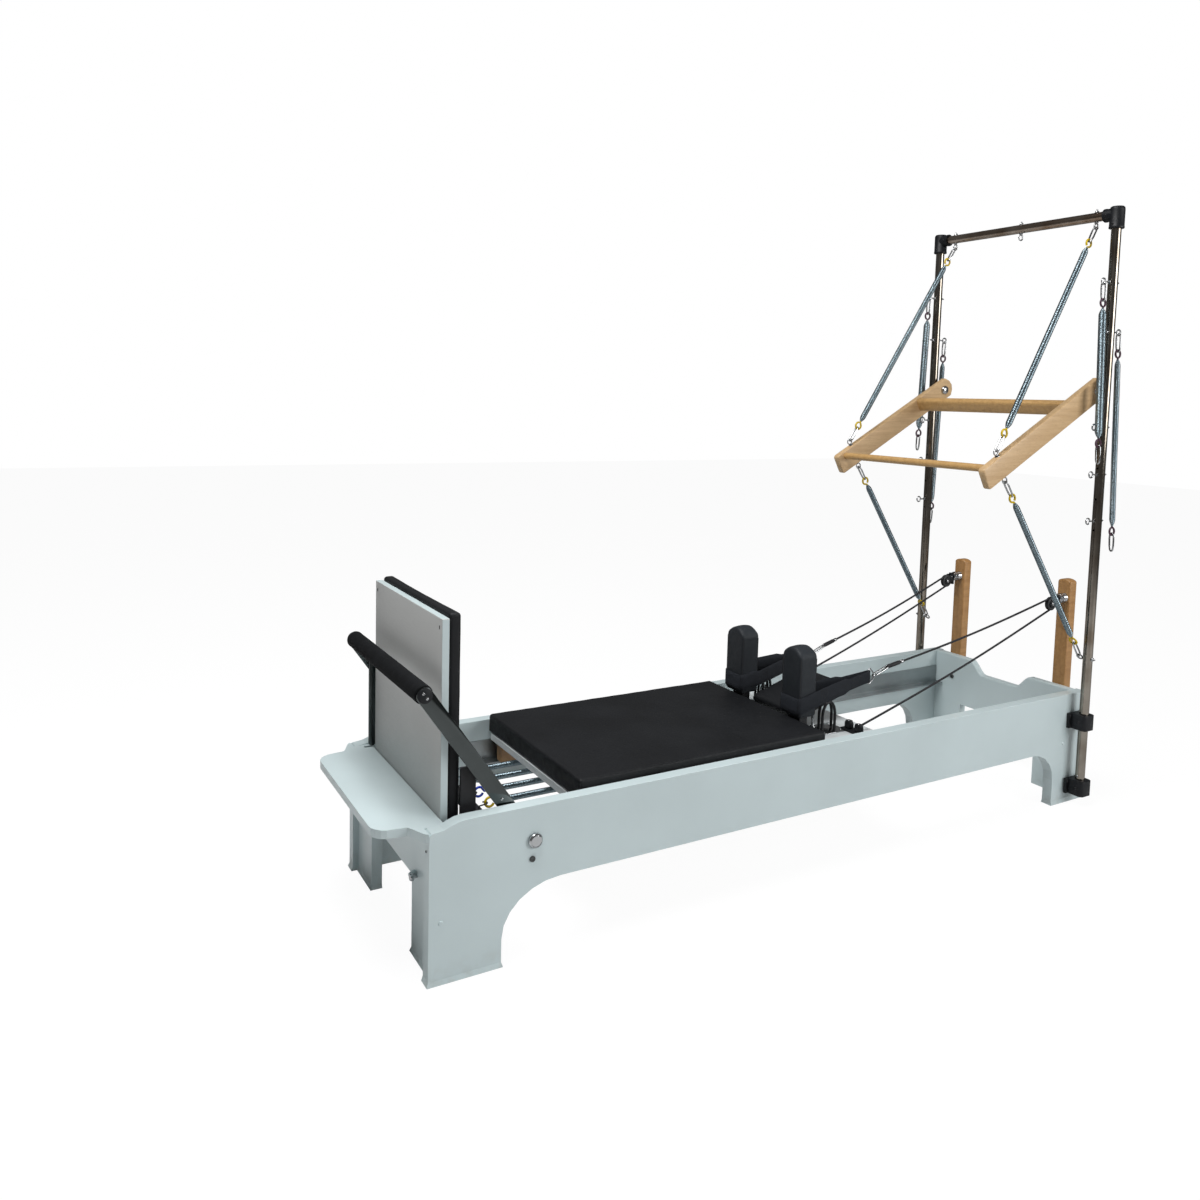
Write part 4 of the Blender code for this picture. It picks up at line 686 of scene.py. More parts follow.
def pads():
    pad = finish("carriage_pad_cover", cushion((DECK_FOOT - 0.002, -0.295, DECK_TOP + 0.0003),
                                               (PAD_HEAD, 0.295, PAD_TOP + 0.008), 0.009, 0.005, 0.002),
                 BLACK_VINYL, "carriage", "black_vinyl", 60, ("carriage_pad",))
    seams = bmesh.new()
    for x in (DECK_FOOT + 0.0010, PAD_HEAD - 0.0030):
        for y in (-0.2920, 0.2920):
            add_welt(seams, [(x, y, z) for z in (0.357, 0.372, 0.388, 0.4015)])
    finish("carriage_pad_seams", seams, STITCH, "carriage", "black_vinyl")

    shape = cushion((0.0713, -0.263, 0.305), (0.1070, 0.263, 0.869), 0.010, 0.004, 0.002, axis=0)
    pad = finish("jumpboard_pad_cover", shape, BLACK_VINYL, "jumpboard", "black_vinyl", 60, ("jumpboard_pad",))
    board = bmesh.new()
    add_box(board, (BOARD_X, -0.265, 0.250), (BOARD_X + 0.019, 0.265, 0.857), 0.0016)
    finish("jumpboard_board", board, BOARD_FACE, "jumpboard", "white_board", 40, ("jumpboard_panel",))
    slots = bmesh.new()
    for side in (-1, 1):
        add_box(slots, (BOARD_X - 0.0004, side * 0.247 - 0.003, 0.829),
                (BOARD_X + 0.002, side * 0.247 + 0.003, 0.839), 0.0012, 2)
    finish("jumpboard_slots", slots, HOLE, "jumpboard", "black_nylon")
    edges = bmesh.new()
    for side in (-1, 1):
        add_box(edges, (BOARD_X + 0.0006, side * 0.2646 - 0.0006, 0.2515),
                (BOARD_X + 0.0184, side * 0.2646 + 0.0006, 0.8555), 0.0004, 1)
    add_box(edges, (BOARD_X + 0.0006, -0.2635, 0.8562), (BOARD_X + 0.0184, 0.2635, 0.8574), 0.0004, 1)
    finish("jumpboard_edge_bands", edges, WHITE, "jumpboard", "white_board")

    for word, side in SIDES:
        low, high = span(side, REST_INNER, REST_OUTER)
        shape = cushion((REST_X, low, REST_BOTTOM), (REST_X + REST_DEPTH, high, REST_TOP), 0.011, 0.004, 0.001,
                        step=0.011, ripple=0.0005)
        centre, wide = (low + high) / 2, high - low
        for vert in shape.verts:
            if vert.co.z > REST_TOP - 0.045:
                share = (vert.co.y - centre) / wide * 2
                vert.co.z -= 0.022 * share * share * min(1.0, (vert.co.z - REST_TOP + 0.045) / 0.030)
        rest = finish(word + "_shoulder_rest_cover", shape, REST_VINYL, word + "_shoulder_rest", "black_vinyl", 60,
                      (word + "_shoulder_rest",))
        seams = bmesh.new()
        for x in (REST_X + 0.0032, REST_X + REST_DEPTH - 0.0032):
            for y in (low + 0.0032, high - 0.0032):
                line = [(x, y, z / 1000) for z in range(424, 610, 16)]
                add_welt(seams, line, 0.0009)
        finish(word + "_shoulder_rest_seams", seams, STITCH, word + "_shoulder_rest", "black_vinyl")
        mount = bmesh.new()
        add_box(mount, (REST_X + 0.018, low + 0.012, DECK_TOP + 0.0003),
                (REST_X + 0.063, high - 0.012, DECK_TOP + 0.0070), 0.0015)
        add_box(mount, (REST_X + 0.020, low + 0.020, DECK_TOP + 0.005),
                (REST_X + 0.052, high - 0.020, REST_BOTTOM + 0.004), 0.0020)
        finish(word + "_shoulder_rest_mount", mount, DARK_STEEL, word + "_shoulder_rest", "dark_steel", 40)
        pegs = bmesh.new()
        for x in (REST_X + 0.024, REST_X + 0.057):
            add_screw(pegs, (x, centre - side * 0.026, DECK_TOP + 0.0070), (0, 0, 1), 0.0036)
        finish(word + "_shoulder_rest_pegs", pegs, CHROME, word + "_shoulder_rest", "stainless_steel", 40)
    headrest()


def headrest():
    """The headrest's pad, the board under it and the prop block, tilted about the hinge on the deck."""
    tilt = Matrix.Translation(HEADREST_HINGE) @ Matrix.Rotation(-HEADREST_TILT, 4, "Y")
    shape = cushion((-0.040, -0.094, 0.004), (0.196, 0.094, 0.056), 0.013, 0.005, 0.001, step=0.013, ripple=0.0006)
    bmesh.ops.transform(shape, matrix=tilt, verts=shape.verts)
    pad = finish("headrest_cover", shape, BLACK_VINYL, "headrest", "black_vinyl", 60, ("headrest",))
    parts = bmesh.new()
    add_box(parts, (-0.026, -0.080, -0.008), (0.180, 0.080, 0.006), 0.002)
    add_box(parts, (0.068, -0.045, -0.024), (0.108, 0.045, -0.007), 0.003)
    bmesh.ops.transform(parts, matrix=tilt, verts=parts.verts)
    finish("headrest_board", parts, BLACK_NYLON, "headrest", "black_vinyl")
    seams = bmesh.new()
    for x in (-0.0365, 0.1925):
        for y in (-0.0905, 0.0905):
            add_welt(seams, [(x, y, z) for z in (0.015, 0.024, 0.034, 0.043)], 0.0009)
    bmesh.ops.transform(seams, matrix=tilt, verts=seams.verts)
    finish("headrest_seams", seams, STITCH, "headrest", "black_vinyl")


# Wire fittings and springs

def square_to(along, across):
    across = Vector(across)
    return (across - along * across.dot(along)).normalized()


def ring_points(centre, along, side, radius, start, end, count):
    angles = [math.radians(start + (end - start) * i / (count - 1)) for i in range(count)]
    return [centre + (along * math.cos(a) + side * math.sin(a)) * radius for a in angles]


def add_snap(bm, start, end, across, width=0.021):
    """A snap hook: a pear-shaped loop of round bar, whose gate closes one side on a small pin."""
    along = (end - start).normalized()
    length = (end - start).length
    side = square_to(along, across)
    wide, slim = width / 2 - SNAP_WIRE, 0.0058
    middle = (start + end) / 2
    points = []
    for i in range(40):
        angle = math.tau * i / 40
        reach = math.cos(angle)
        half = slim + (wide - slim) * (0.5 - 0.5 * reach) ** 0.7
        push = math.copysign(abs(reach) ** 0.62, reach)
        sway = math.copysign(abs(math.sin(angle)) ** 0.62, math.sin(angle))
        points.append(middle + along * length / 2 * push + side * half * sway)
    add_wire(bm, points, HOOK_WIRE, closed=True)
    low, high = middle - along * 0.011, middle + along * 0.012
    add_wire(bm, [low + side * wide * 0.93, high + side * wide * 0.88], SNAP_WIRE * 1.25)
    add_wire(bm, [low + side * (wide * 0.93 - 0.0032), low + side * (wide * 0.93 + 0.0030)], SNAP_WIRE * 0.55)


def add_eye_bolt(bm, ring, shank, across, stand=STAND, tail=0.011):
    """A welded eye, its threaded shank through the tube, and a nut and washer on each side."""
    along = Vector(shank).normalized()
    side = square_to(along, across)
    add_wire(bm, ring_points(ring, along, side, RING, 0, 350, 28), 0.0027, closed=True)
    nut = stand + 2 * TUBE
    add_wire(bm, [ring + along * (RING + 0.0006), ring + along * (nut + tail)], 0.0026)
    for n in range(int((tail - 0.006) / 0.0012)):
        at = ring + along * (nut + 0.0062 + 0.0012 * n)
        add_capped(bm, [(0.0024, 0.0), (0.0030, 0.0004), (0.0024, 0.0008)], at, along, 12)
    add_capped(bm, [(0.0078, 0.0), (0.0078, 0.0010)], ring + along * (nut - 0.0008), along, 20)
    add_hex(bm, ring + along * nut, along, 0.0110, 0.0052)
    if stand > 0.02:
        add_hex(bm, ring + along * (stand - 0.0056), along, 0.0110, 0.0052)
    else:
        add_capped(bm, [(0.0062, 0.0), (0.0070, 0.0024)],
                   ring + along * (stand - 0.0030), along, 20)


def add_coil(bm, start, end, radius, wire=0.00105):
    """A close-wound helix between two eyes, tapering to the wire at both ends."""
    along = (end - start).normalized()
    length = (end - start).length
    first = square_to(along, (0.3, 1.0, 0.2))
    second = along.cross(first)
    tip, shoulder = COIL_EYE + 0.004, COIL_EYE + 0.030
    turns = (length - 2 * tip) / (wire * 2.12)
    steps = int(turns * 11)
    points = []
    for i in range(steps + 1):
        at = tip + (length - 2 * tip) * i / steps
        inward = min(at, length - at)
        share = max(0.0, min(1.0, (inward - tip) / (shoulder - tip)))
        reach = 0.0016 + (radius - wire - 0.0016) * math.sin(share * math.pi / 2)
        angle = math.tau * turns * i / steps
        points.append(start + along * at + (first * math.cos(angle) + second * math.sin(angle)) * reach)
    add_wire(bm, points, wire, sides=1)


def add_coil_eye(bm, centre, towards, across):
    along = (towards - centre).normalized()
    side = square_to(along, across)
    points = ring_points(centre, along, side, COIL_EYE, 336, 24, 26)
    points += [centre + along * (COIL_EYE + 0.003), centre + along * (COIL_EYE + 0.010)]
    add_wire(bm, points, EYE_WIRE)


def snap_in(eye, towards):
    along = (towards - eye).normalized()
    start = eye + along * (0.9 * RING - RING_WIRE - SNAP_WIRE - 0.0006)
    end = start + along * (SNAP - 2 * SNAP_WIRE)
    return start, end, end + along * (COIL_EYE - EYE_WIRE - HOOK_WIRE)


def moved(point):
    return tuple(Vector(point) - Vector((CENTRE_X, 0, 0)))


def stretch(piece, start, end):
    """Bakes the piece's placement into its mesh. The points by its two eyes are worked out, and nothing uses them."""
    along = (end - start).normalized() * (COIL_EYE + 0.010)
    moved(start + along)
    moved(end - along)
    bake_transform(piece)


def carriage_springs():
    reach = HOOK_REACH + COIL_EYE - EYE_WIRE - 0.0023
    names = ("near_outer", "near_inner", "middle", "far_inner", "far_outer")
    for n, name in enumerate(names):
        y = 0.075 * (n - 2)
        start = Vector((SPRING_BAR_X + reach, y, SPRING_LEVEL))
        end = Vector((CARRIAGE_BAR_X - reach, y, SPRING_LEVEL))
        coil = bmesh.new()
        add_coil(coil, start, end, 0.0090)
        piece = finish(name + "_carriage_spring_coil", coil, SPRING, None, "galvanised_spring", 60,
                       (name + "_carriage_spring",))
        stretch(piece, start, end)
        eyes = bmesh.new()
        add_coil_eye(eyes, start, end, (0, 0, 1))
        add_coil_eye(eyes, end, start, (0, 0, 1))
        look = {1: YELLOW_EYE, 2: BLUE_EYE, 3: YELLOW_EYE}.get(n, SPRING)
        piece = finish(name + "_carriage_spring_eyes", eyes, look, None, "galvanised_spring", 60)
        stretch(piece, start, end)


def along_arm(distance, rise=0.0):
    return (POST_X - distance * math.cos(PUSH_ANGLE) - rise * math.sin(PUSH_ANGLE),
            PUSH_Z - distance * math.sin(PUSH_ANGLE) + rise * math.cos(PUSH_ANGLE))


def push_eye(side, way):
    x, z = along_arm(0.528, way * (PUSH_HALF + STAND))
    return Vector((x, side * (PUSH_Y - PUSH_THICK / 2), z))


def hanging_eye(side, z, way):
    return Vector((POST_X + way * (TUBE + LONG_STAND), side * POST_Y, z))


def low_eye(side):
    return Vector((POST_X, side * (POST_Y - TUBE - STAND), 0.524))


def high_eye(side):
    return Vector((POST_X, side * 0.300, CROSSBAR_Z - TUBE - STAND))


def push_springs():
    for word, side in SIDES:
        for place, fixed, moving in (("upper", high_eye(side), push_eye(side, 1)),
                                     ("lower", low_eye(side), push_eye(side, -1))):
            name = f"{word}_{place}_push_spring"
            away = (moving - fixed).normalized()
            upright = away.cross((0, 1, 0))
            tower_side = Vector((0, 1, 0)) if place == "upper" else upright
            top_start, top_end, first = snap_in(fixed, moving)
            low_start, low_end, last = snap_in(moving, fixed)
            coil = bmesh.new()
            add_coil(coil, first, last, 0.0105)
            piece = finish(name + "_coil", coil, SPRING, None, "galvanised_spring", 60, (name,))
            stretch(piece, first, last)
            eyes = bmesh.new()
            add_coil_eye(eyes, first, last, away.cross(tower_side))
            add_coil_eye(eyes, last, first, upright)
            piece = finish(name + "_eyes", eyes, YELLOW_EYE, None, "galvanised_spring", 60)
            stretch(piece, first, last)
            for body, start, end, across in (("frame", top_start, top_end, tower_side),
                                             ("push_bar", low_start, low_end, (0, 1, 0))):
                hook = bmesh.new()
                add_snap(hook, start, end, across)
                finish(f"{name}_{body}_snap_hook", hook, CHROME, body, "stainless_steel", 50)


def hanging_springs():
    kinds = (("inner", 1.820, -1, 0.0130, 0.472), ("outer", 1.654, 1, 0.0100, 0.610))
    for word, side in SIDES:
        for kind, z, way, body, length in kinds:
            name = f"{word}_{kind}_hanging_spring"
            eye = hanging_eye(side, z, way)
            down = Vector((0, side * math.sin(LEAN), -math.cos(LEAN)))
            start, end, first = snap_in(eye, eye + down)
            last = first + down * length
            low_start = last + down * (COIL_EYE - EYE_WIRE - HOOK_WIRE)
            coil = bmesh.new()
            add_coil(coil, first, last, body, 0.00125)
            finish(name + "_coil", coil, SPRING, name, "galvanised_spring", 60, (name,))
            eyes = bmesh.new()
            add_coil_eye(eyes, first, last, (1, 0, 0))
            add_coil_eye(eyes, last, first, (1, 0, 0))
            finish(name + "_eyes", eyes, PURPLE_EYE, name, "galvanised_spring", 60)
            hooks = bmesh.new()
            add_snap(hooks, start, end, (0, 1, 0))
            add_snap(hooks, low_start, low_start + down * (SNAP - 2 * SNAP_WIRE), (0, 1, 0))
            finish(name + "_snap_hooks", hooks, CHROME, name, "stainless_steel", 50)


# Straps, ropes and pulleys

def strap_level(x, y=1.0):
    """The tape's middle: it climbs along the rest, then runs nearly level, and its inner run hangs lower."""
    rise = 0.4555 + (min(x, REST_END) - REST_X) * 0.27 + max(0.0, x - REST_END) * 0.110
    return rise - 0.24 * max(0.0, STRAP_TIP[1] - 0.006 - abs(y)) * (x > REST_END - 0.001)


def strap_width(x):
    """The tape is 38 mm wide at its ring, and sleeved to 50 mm round the rest."""
    return 0.038 + 0.012 * max(0.0, min(1.0, (1.462 - x) / 0.010))


def strap_path(side):
    corner, nose = 0.012, STRAP_NOSE
    low, high = REST_INNER - STRAP_PLAY, REST_OUTER + STRAP_PLAY
    foot, head = REST_X - STRAP_PLAY, REST_END
    reach = STRAP_END - head
    outline = [(head - 0.03, high), (head, high)]
    outline += arc((foot + corner, high - corner), (corner, corner), 90, 180, 10)
    outline += arc((foot + corner, low + corner), (corner, corner), 180, 270, 10)
    outline += [(head - 0.03, low), (head, low)]
    for n in range(1, 12):
        outline.append((head + reach * n / 12, low + (STRAP_TIP[1] - nose - low) * n / 12))
    outline += arc(STRAP_TIP, (nose, nose), 270, 450, 16)
    for n in range(11, 0, -1):
        outline.append((head + reach * n / 12, high + (STRAP_TIP[1] + nose - high) * n / 12))
    return [(x, side * y) for x, y in outline]


def ribbon(bm, path, thick):
    """A flat tape stood on edge along a closed path in plan, with thickness and softly rounded edges."""
    rows = []
    for n, (x, y) in enumerate(path):
        along = (Vector(path[(n + 1) % len(path)]) - Vector(path[n - 1])).normalized()
        half, t = strap_width(x) / 2, thick / 2
        section = [(-t, -half + t), (-t * 0.4, -half), (t * 0.4, -half), (t, -half + t), (t, -half / 3),
                   (t, half / 3)]
        section += [(-a, -b) for a, b in section]
        z = strap_level(x, y)
        rows.append([bm.verts.new((x + along.y * a, y - along.x * a, z + b)) for a, b in section])
    for one, two in zip(rows, rows[1:] + rows[:1]):
        for k, a in enumerate(one):
            j = (k + 1) % len(one)
            bm.faces.new((a, one[j], two[j], two[k]))


def straps():
    """Each shoulder strap: a loop of webbing round the rest, sewn together behind it and at its ring."""
    for word, side in SIDES:
        tape = bmesh.new()
        path = strap_path(side)
        ribbon(tape, path, 0.0026)
        strap = finish(word + "_strap_webbing", tape, WEB, "carriage", "black_webbing", 50, (word + "_strap",))
        runs = [((Vector(a) - Vector(b)).length, strap_width((a[0] + b[0]) / 2))
                for a, b in zip(path, path[1:] + path[:1])]
        sewing = bmesh.new()
        for way in (-1, 1):
            for x0, x1 in ((1.475, 1.520), (1.325, 1.352)):
                edge = strap_width(x0) / 2 - 0.0045
                line = []
                for x in (x0, x1):
                    share = (x - REST_END) / (STRAP_END - REST_END)
                    inner = REST_OUTER + STRAP_PLAY if way > 0 else REST_INNER - STRAP_PLAY
                    end = STRAP_TIP[1] + way * STRAP_NOSE
                    line.append((x, side * (inner + (end - inner) * share + way * 0.0015)))
                for rise in (-edge, edge):
                    add_stitches(sewing, [(x, y, strap_level(x, y) + rise) for x, y in line])
                for n, (x, y) in enumerate(line):
                    add_stitches(sewing, [(x, y, strap_level(x, y) - edge), (x, y, strap_level(x, y) + edge)])
                ends = [(x, y, strap_level(x, y)) for x, y in line]
                for sign in (-1, 1):
                    add_stitches(sewing, [(ends[0][0], ends[0][1], ends[0][2] - edge * sign),
                                          (ends[1][0], ends[1][1], ends[1][2] + edge * sign)])
        thread = finish(word + "_strap_sewing", sewing, STITCH, "carriage", "black_webbing")
        round(sum(run * wide for run, wide in runs), 5)


def rope_points(side):
    """The rope's route, as in the CAD: from the snap hook round the sheave to the cleat on the deck."""
    y = side * SHEAVE[1]
    start = Vector((1.648, side * 0.1520, 0.5265))
    cleat = Vector((1.474, side * CLEAT_Y, DECK_TOP + 0.0150))
    turns = []
    for end, way in ((start, 1), (cleat, -1)):
        run = Vector((SHEAVE[0] - end.x, SHEAVE[2] - end.z))
        turns.append(math.atan2(run.y, run.x) + way * (math.asin(GROOVE / run.length) + math.pi / 2))
    wrap = []
    for i in range(22):
        angle = turns[0] + (turns[1] - turns[0]) * i / 21
        wrap.append(Vector((SHEAVE[0] + GROOVE * math.cos(angle), y, SHEAVE[2] + GROOVE * math.sin(angle))))
    strap_run, cleat_run = [], []
    for i in range(25):
        sag = Vector((0, 0, math.sin(math.pi * i / 24)))
        strap_run.append(start.lerp(wrap[0], i / 24) - sag * 0.010)
        cleat_run.append(wrap[-1].lerp(cleat, i / 24) - sag * 0.012)
    return strap_run, wrap, cleat_run


def rope_piece(name, points, replaced=()):
    """A braided tube with a UV map for its strands: round it in U, along it in V."""
    bm = bmesh.new()
    chart = bm.loops.layers.uv.new("UVMap")
    rows, sides, travelled = [], 12, [0.0]
    for a, b in zip(points, points[1:]):
        travelled.append(travelled[-1] + (b - a).length)
    for n, point in enumerate(points):
        along = (points[min(n + 1, len(points) - 1)] - points[max(n - 1, 0)]).normalized()
        first = square_to(along, (0, 1, 0))
        second = along.cross(first)
        rows.append([bm.verts.new(point + (first * math.cos(math.tau * k / sides)
                                           + second * math.sin(math.tau * k / sides)) * ROPE) for k in range(sides)])
    for n, (one, two) in enumerate(zip(rows, rows[1:])):
        for k in range(sides):
            face = bm.faces.new((one[k], one[(k + 1) % sides], two[(k + 1) % sides], two[k]))
            spots = ((k, n), (k + 1, n), (k + 1, n + 1), (k, n + 1))
            for loop, (u, v) in zip(face.loops, spots):
                loop[chart].uv = (u / sides * 6, travelled[v] / 0.0055)
    bm.faces.new(rows[0])
    bm.faces.new(rows[-1])
    return finish(name, bm, CORD, "frame", "black_cord", 60, replaced)


def ropes():
    for word, side in SIDES:
        strap_run, wrap, cleat_run = rope_points(side)
        first = rope_piece(word + "_rope_strap_run", strap_run, (word + "_rope",))
        over = rope_piece(word + "_rope_sheave_wrap", wrap)
        last = rope_piece(word + "_rope_cleat_run", cleat_run)
        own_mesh(last)
        heading = (strap_run[1] - strap_run[0]).normalized()
        sleeve = bmesh.new()
        begin = strap_run[0] - heading * 0.006
        knob = [(0.0, 0.0), (0.0056, 0.0), (0.0066, 0.002), (0.0066, 0.050), (0.0056, 0.056), (0.0, 0.056)]
        add_turned(sleeve, knob, begin, heading, 20)
        for n in range(9):
            add_turned(sleeve, [(0.0, 0.0), (0.0070, 0.0008), (0.0, 0.0016)], begin + heading * (0.006 + 0.005 * n),
                       heading, 18)
        grip = finish(word + "_rope_sleeve", sleeve, SLEEVE, "frame", "black_cord")
        ferrule = bmesh.new()
        add_capped(ferrule, [(0.0052, 0.0), (0.0058, 0.001), (0.0058, 0.010), (0.0052, 0.011)],
                   begin + heading * 0.058, heading, 20)
        collar = finish(word + "_rope_ferrule", ferrule, CHROME, "frame", "stainless_steel")
        for piece in (first, grip, collar):
            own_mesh(piece)
        x, y, z = STRAP_TIP[0], side * STRAP_TIP[1], strap_level(STRAP_TIP[0])
        ring = [(0.0, -0.0205), (0.0, 0.0205), (0.003, 0.0240), (0.008, 0.0245), (0.021, 0.0130), (0.0252, 0.006),
                (0.026, 0.0), (0.0252, -0.006), (0.021, -0.0130), (0.008, -0.0245), (0.003, -0.0240)]
        metal_parts = bmesh.new()
        add_wire(metal_parts, [(x + dx, y, z + dz) for dx, dz in ring], SNAP_WIRE, closed=True)
        start = Vector((x + 0.026 - 2 * SNAP_WIRE + 0.0012, y, z))
        add_snap(metal_parts, start, strap_run[0] + heading * 0.001, (0, 1, 0), 0.019)
        eye = ring_points(strap_run[0] - heading * 0.004, heading, Vector((0, 0, 1)), 0.0052, 0, 350, 20)
        add_wire(metal_parts, eye, 0.0012, closed=True)
        hook = finish(word + "_strap_ring_and_hook", metal_parts, CHROME, "carriage", "stainless_steel", 50)
        for run, path, extras in ((first, strap_run, [over, grip, collar, hook]), (last, cleat_run[::-1], [])):
            length = sum((b - a).length for a, b in zip(path, path[1:]))


def pulleys():
    for word, side in SIDES:
        y = side * SHEAVE[1]
        x, _, z = SHEAVE
        wheel = bmesh.new()
        profile = [(0.0044, -0.0068), (0.0225, -0.0068), (0.0235, -0.0060), (0.0229, -0.0052)]
        profile += [(0.0200 - 0.0038 * math.cos(math.radians(t)), 0.0040 * math.sin(math.radians(t)))
                    for t in (-78, -50, -25, 0, 25, 50, 78)]
        profile += [(0.0229, 0.0052), (0.0235, 0.0060), (0.0225, 0.0068), (0.0044, 0.0068)]
        add_turned(wheel, profile, (x, y, z), (0, 1, 0), 48)
        finish(word + "_pulley_wheel", wheel, GREY_NYLON, word + "_pulley_sheave", "grey_nylon", 40,
               (word + "_pulley_sheave",))
        block = bmesh.new()
        for way in (-1, 1):
            face = y + way * 0.0077
            add_plate(block, stadium((x, z + 0.0005), (x + 0.020, z + 0.011), 0.0148), "XZ",
                      *sorted((face, face + way * 0.0031)), 0.0009)
        add_box(block, (x + 0.0265, y - 0.0108, z - 0.0145), (x + 0.0345, y + 0.0108, z + 0.0300), 0.0016)
        finish(word + "_pulley_housing", block, BLACK_NYLON, "frame", "black_nylon", 40, (word + "_pulley_block",))
        bright = bmesh.new()
        for way in (-1, 1):
            add_turned(bright, [(0.0, 0.0), (0.0056, 0.0), (0.0056, 0.0008), (0.0044, 0.0016), (0.0, 0.0018)],
                       (x, y + way * 0.0106, z), (0, way, 0), 24)
            add_screw(bright, (x + 0.021, y + way * 0.0110, z + 0.017), (0, way, 0), 0.0026)
        start = x + 0.0336
        face = BED_LENGTH - 0.016
        end = face - start
        level = z + STUD_RISE
        barrel = [(0.0, 0.0), (0.0135, 0.0), (0.0152, 0.002), (0.0152, end * 0.24), (0.0168, end * 0.24 + 0.001),
                  (0.0168, end * 0.84), (0.0176, end * 0.84 + 0.001), (0.0176, end), (0.0, end)]
        add_turned(bright, barrel, (start, y, level), (1, 0, 0), 40)
        for n in range(40):
            angle = math.tau * n / 40
            add_box(bright, (start + end * 0.28, y - 0.0004, level + 0.0164),
                    (start + end * 0.80, y + 0.0004, level + 0.0174))
            turn = Matrix.Translation((0, y, level)) @ Matrix.Rotation(angle, 4, "X")
            bmesh.ops.transform(bright, matrix=turn @ Matrix.Translation((0, -y, -level)), verts=bright.verts[-8:])
        nut = face + RISER_THICK - 0.0003
        add_capped(bright, [(0.0105, 0.0), (0.0105, 0.0012)], (nut, y, level), (1, 0, 0), 28)
        add_hex(bright, (nut + 0.0010, y, level), (1, 0, 0), 0.0130, 0.0045)
        add_turned(bright, [(0.0058, 0.0), (0.0052, 0.0018), (0.0030, 0.0034), (0.0, 0.0040)],
                   (nut + 0.0050, y, level), (1, 0, 0), 24)
        finish(word + "_pulley_stud", bright, CHROME, "frame", "stainless_steel", 40)
        riser = bmesh.new()
        wide = 0.026
        middle = side * 0.2325
        top = arc((middle, 0.777 - 0.012), (wide, 0.012), 0, 180, 20)
        add_plate(riser, [(middle - wide, 0.215), (middle + wide, 0.215)] + top, "YZ", face + 0.0003,
                  face + RISER_THICK, 0.0055, 4)
        finish(word + "_wooden_riser", riser, WOOD_Z, "frame", "beech", 40, (word + "_riser",))
        bolts = bmesh.new()
        for z0 in (0.245, 0.345):
            add_screw(bolts, (face + RISER_THICK, middle, z0), (1, 0, 0), 0.0055)
        finish(word + "_riser_screws", bolts, CHROME, "frame", "stainless_steel")


def cleats():
    """Behind each shoulder rest: a steel plate, a chrome post, a hoop of bar, and the rope's two-cam cleat."""
    base = DECK_TOP + 0.0003
    for word, side in SIDES:
        plate, bright = bmesh.new(), bmesh.new()
        low, high = span(side, 0.112, 0.196)
        add_box(bright, (1.340, low, base), (1.434, high, base + 0.0035), 0.0010)
        low, high = span(side, 0.170, 0.252)
        add_box(plate, (1.428, low, base + 0.0001), (1.465, high, base + 0.0070), 0.0022)
        for shift in (-1, 1):
            middle = (CLEAT_X, side * CLEAT_Y + shift * CAM_SHIFT, base + 0.0060)
            add_capped(plate, [(0.0110, 0.0), (0.0132, 0.003), (0.0134, 0.019), (0.0110, 0.0245),
                               (0.0050, 0.0256)], middle, (0, 0, 1), 28)
            for n in range(9):
                angle = math.radians(-60 + 15 * n) + (0 if shift * side < 0 else math.pi)
                tooth = Vector((math.sin(angle) * 0.0134, math.cos(angle) * 0.0134 * -shift, 0.0))
                spot = Vector(middle) + tooth
                add_wire(plate, [spot + Vector((0, 0, 0.003)), spot + Vector((0, 0, 0.0150))], 0.0011, sides=1)
        finish(word + "_cleat_body", plate, BLACK_NYLON, "carriage", "black_nylon", 40, (word + "_rope_cleat",))
        add_turned(bright, [(0.0, 0.001), (0.0050, 0.001), (0.0050, 0.121), (0.0038, 0.125), (0.0, 0.126)],
                   (1.352, side * 0.1260, base), (0, 0, 1), 28)
        add_capped(bright, [(0.0088, 0.0034), (0.0088, 0.0060), (0.0072, 0.0085)],
                   (1.352, side * 0.1260, base), (0, 0, 1), 28)
        for x, y in ((1.352, 0.180), (1.422, 0.180), (1.422, 0.128)):
            add_screw(bright, (x, side * y, base + 0.0035), (0, 0, 1), 0.0042)
        for shift in (-1, 1):
            add_screw(bright, (CLEAT_X, side * CLEAT_Y + shift * CAM_SHIFT, base + 0.0314), (0, 0, 1), 0.0045)
        finish(word + "_cleat_fastenings", bright, CHROME, "carriage", "stainless_steel", 40)
        hoop = bmesh.new()
        route = arc((1.380, base + 0.052), (0.026, 0.046), 0, 180, 18)
        route = [(1.406, base + 0.005)] + route + [(1.354, base + 0.005)]
        for shift in (0.0, 0.016):
            add_wire(hoop, [(x, side * (0.152 + shift), z - 0.3 * shift) for x, z in route], 0.0046)
        finish(word + "_cleat_hoop", hoop, DARK_STEEL, "carriage", "dark_steel", 50)


# Footbar and tower

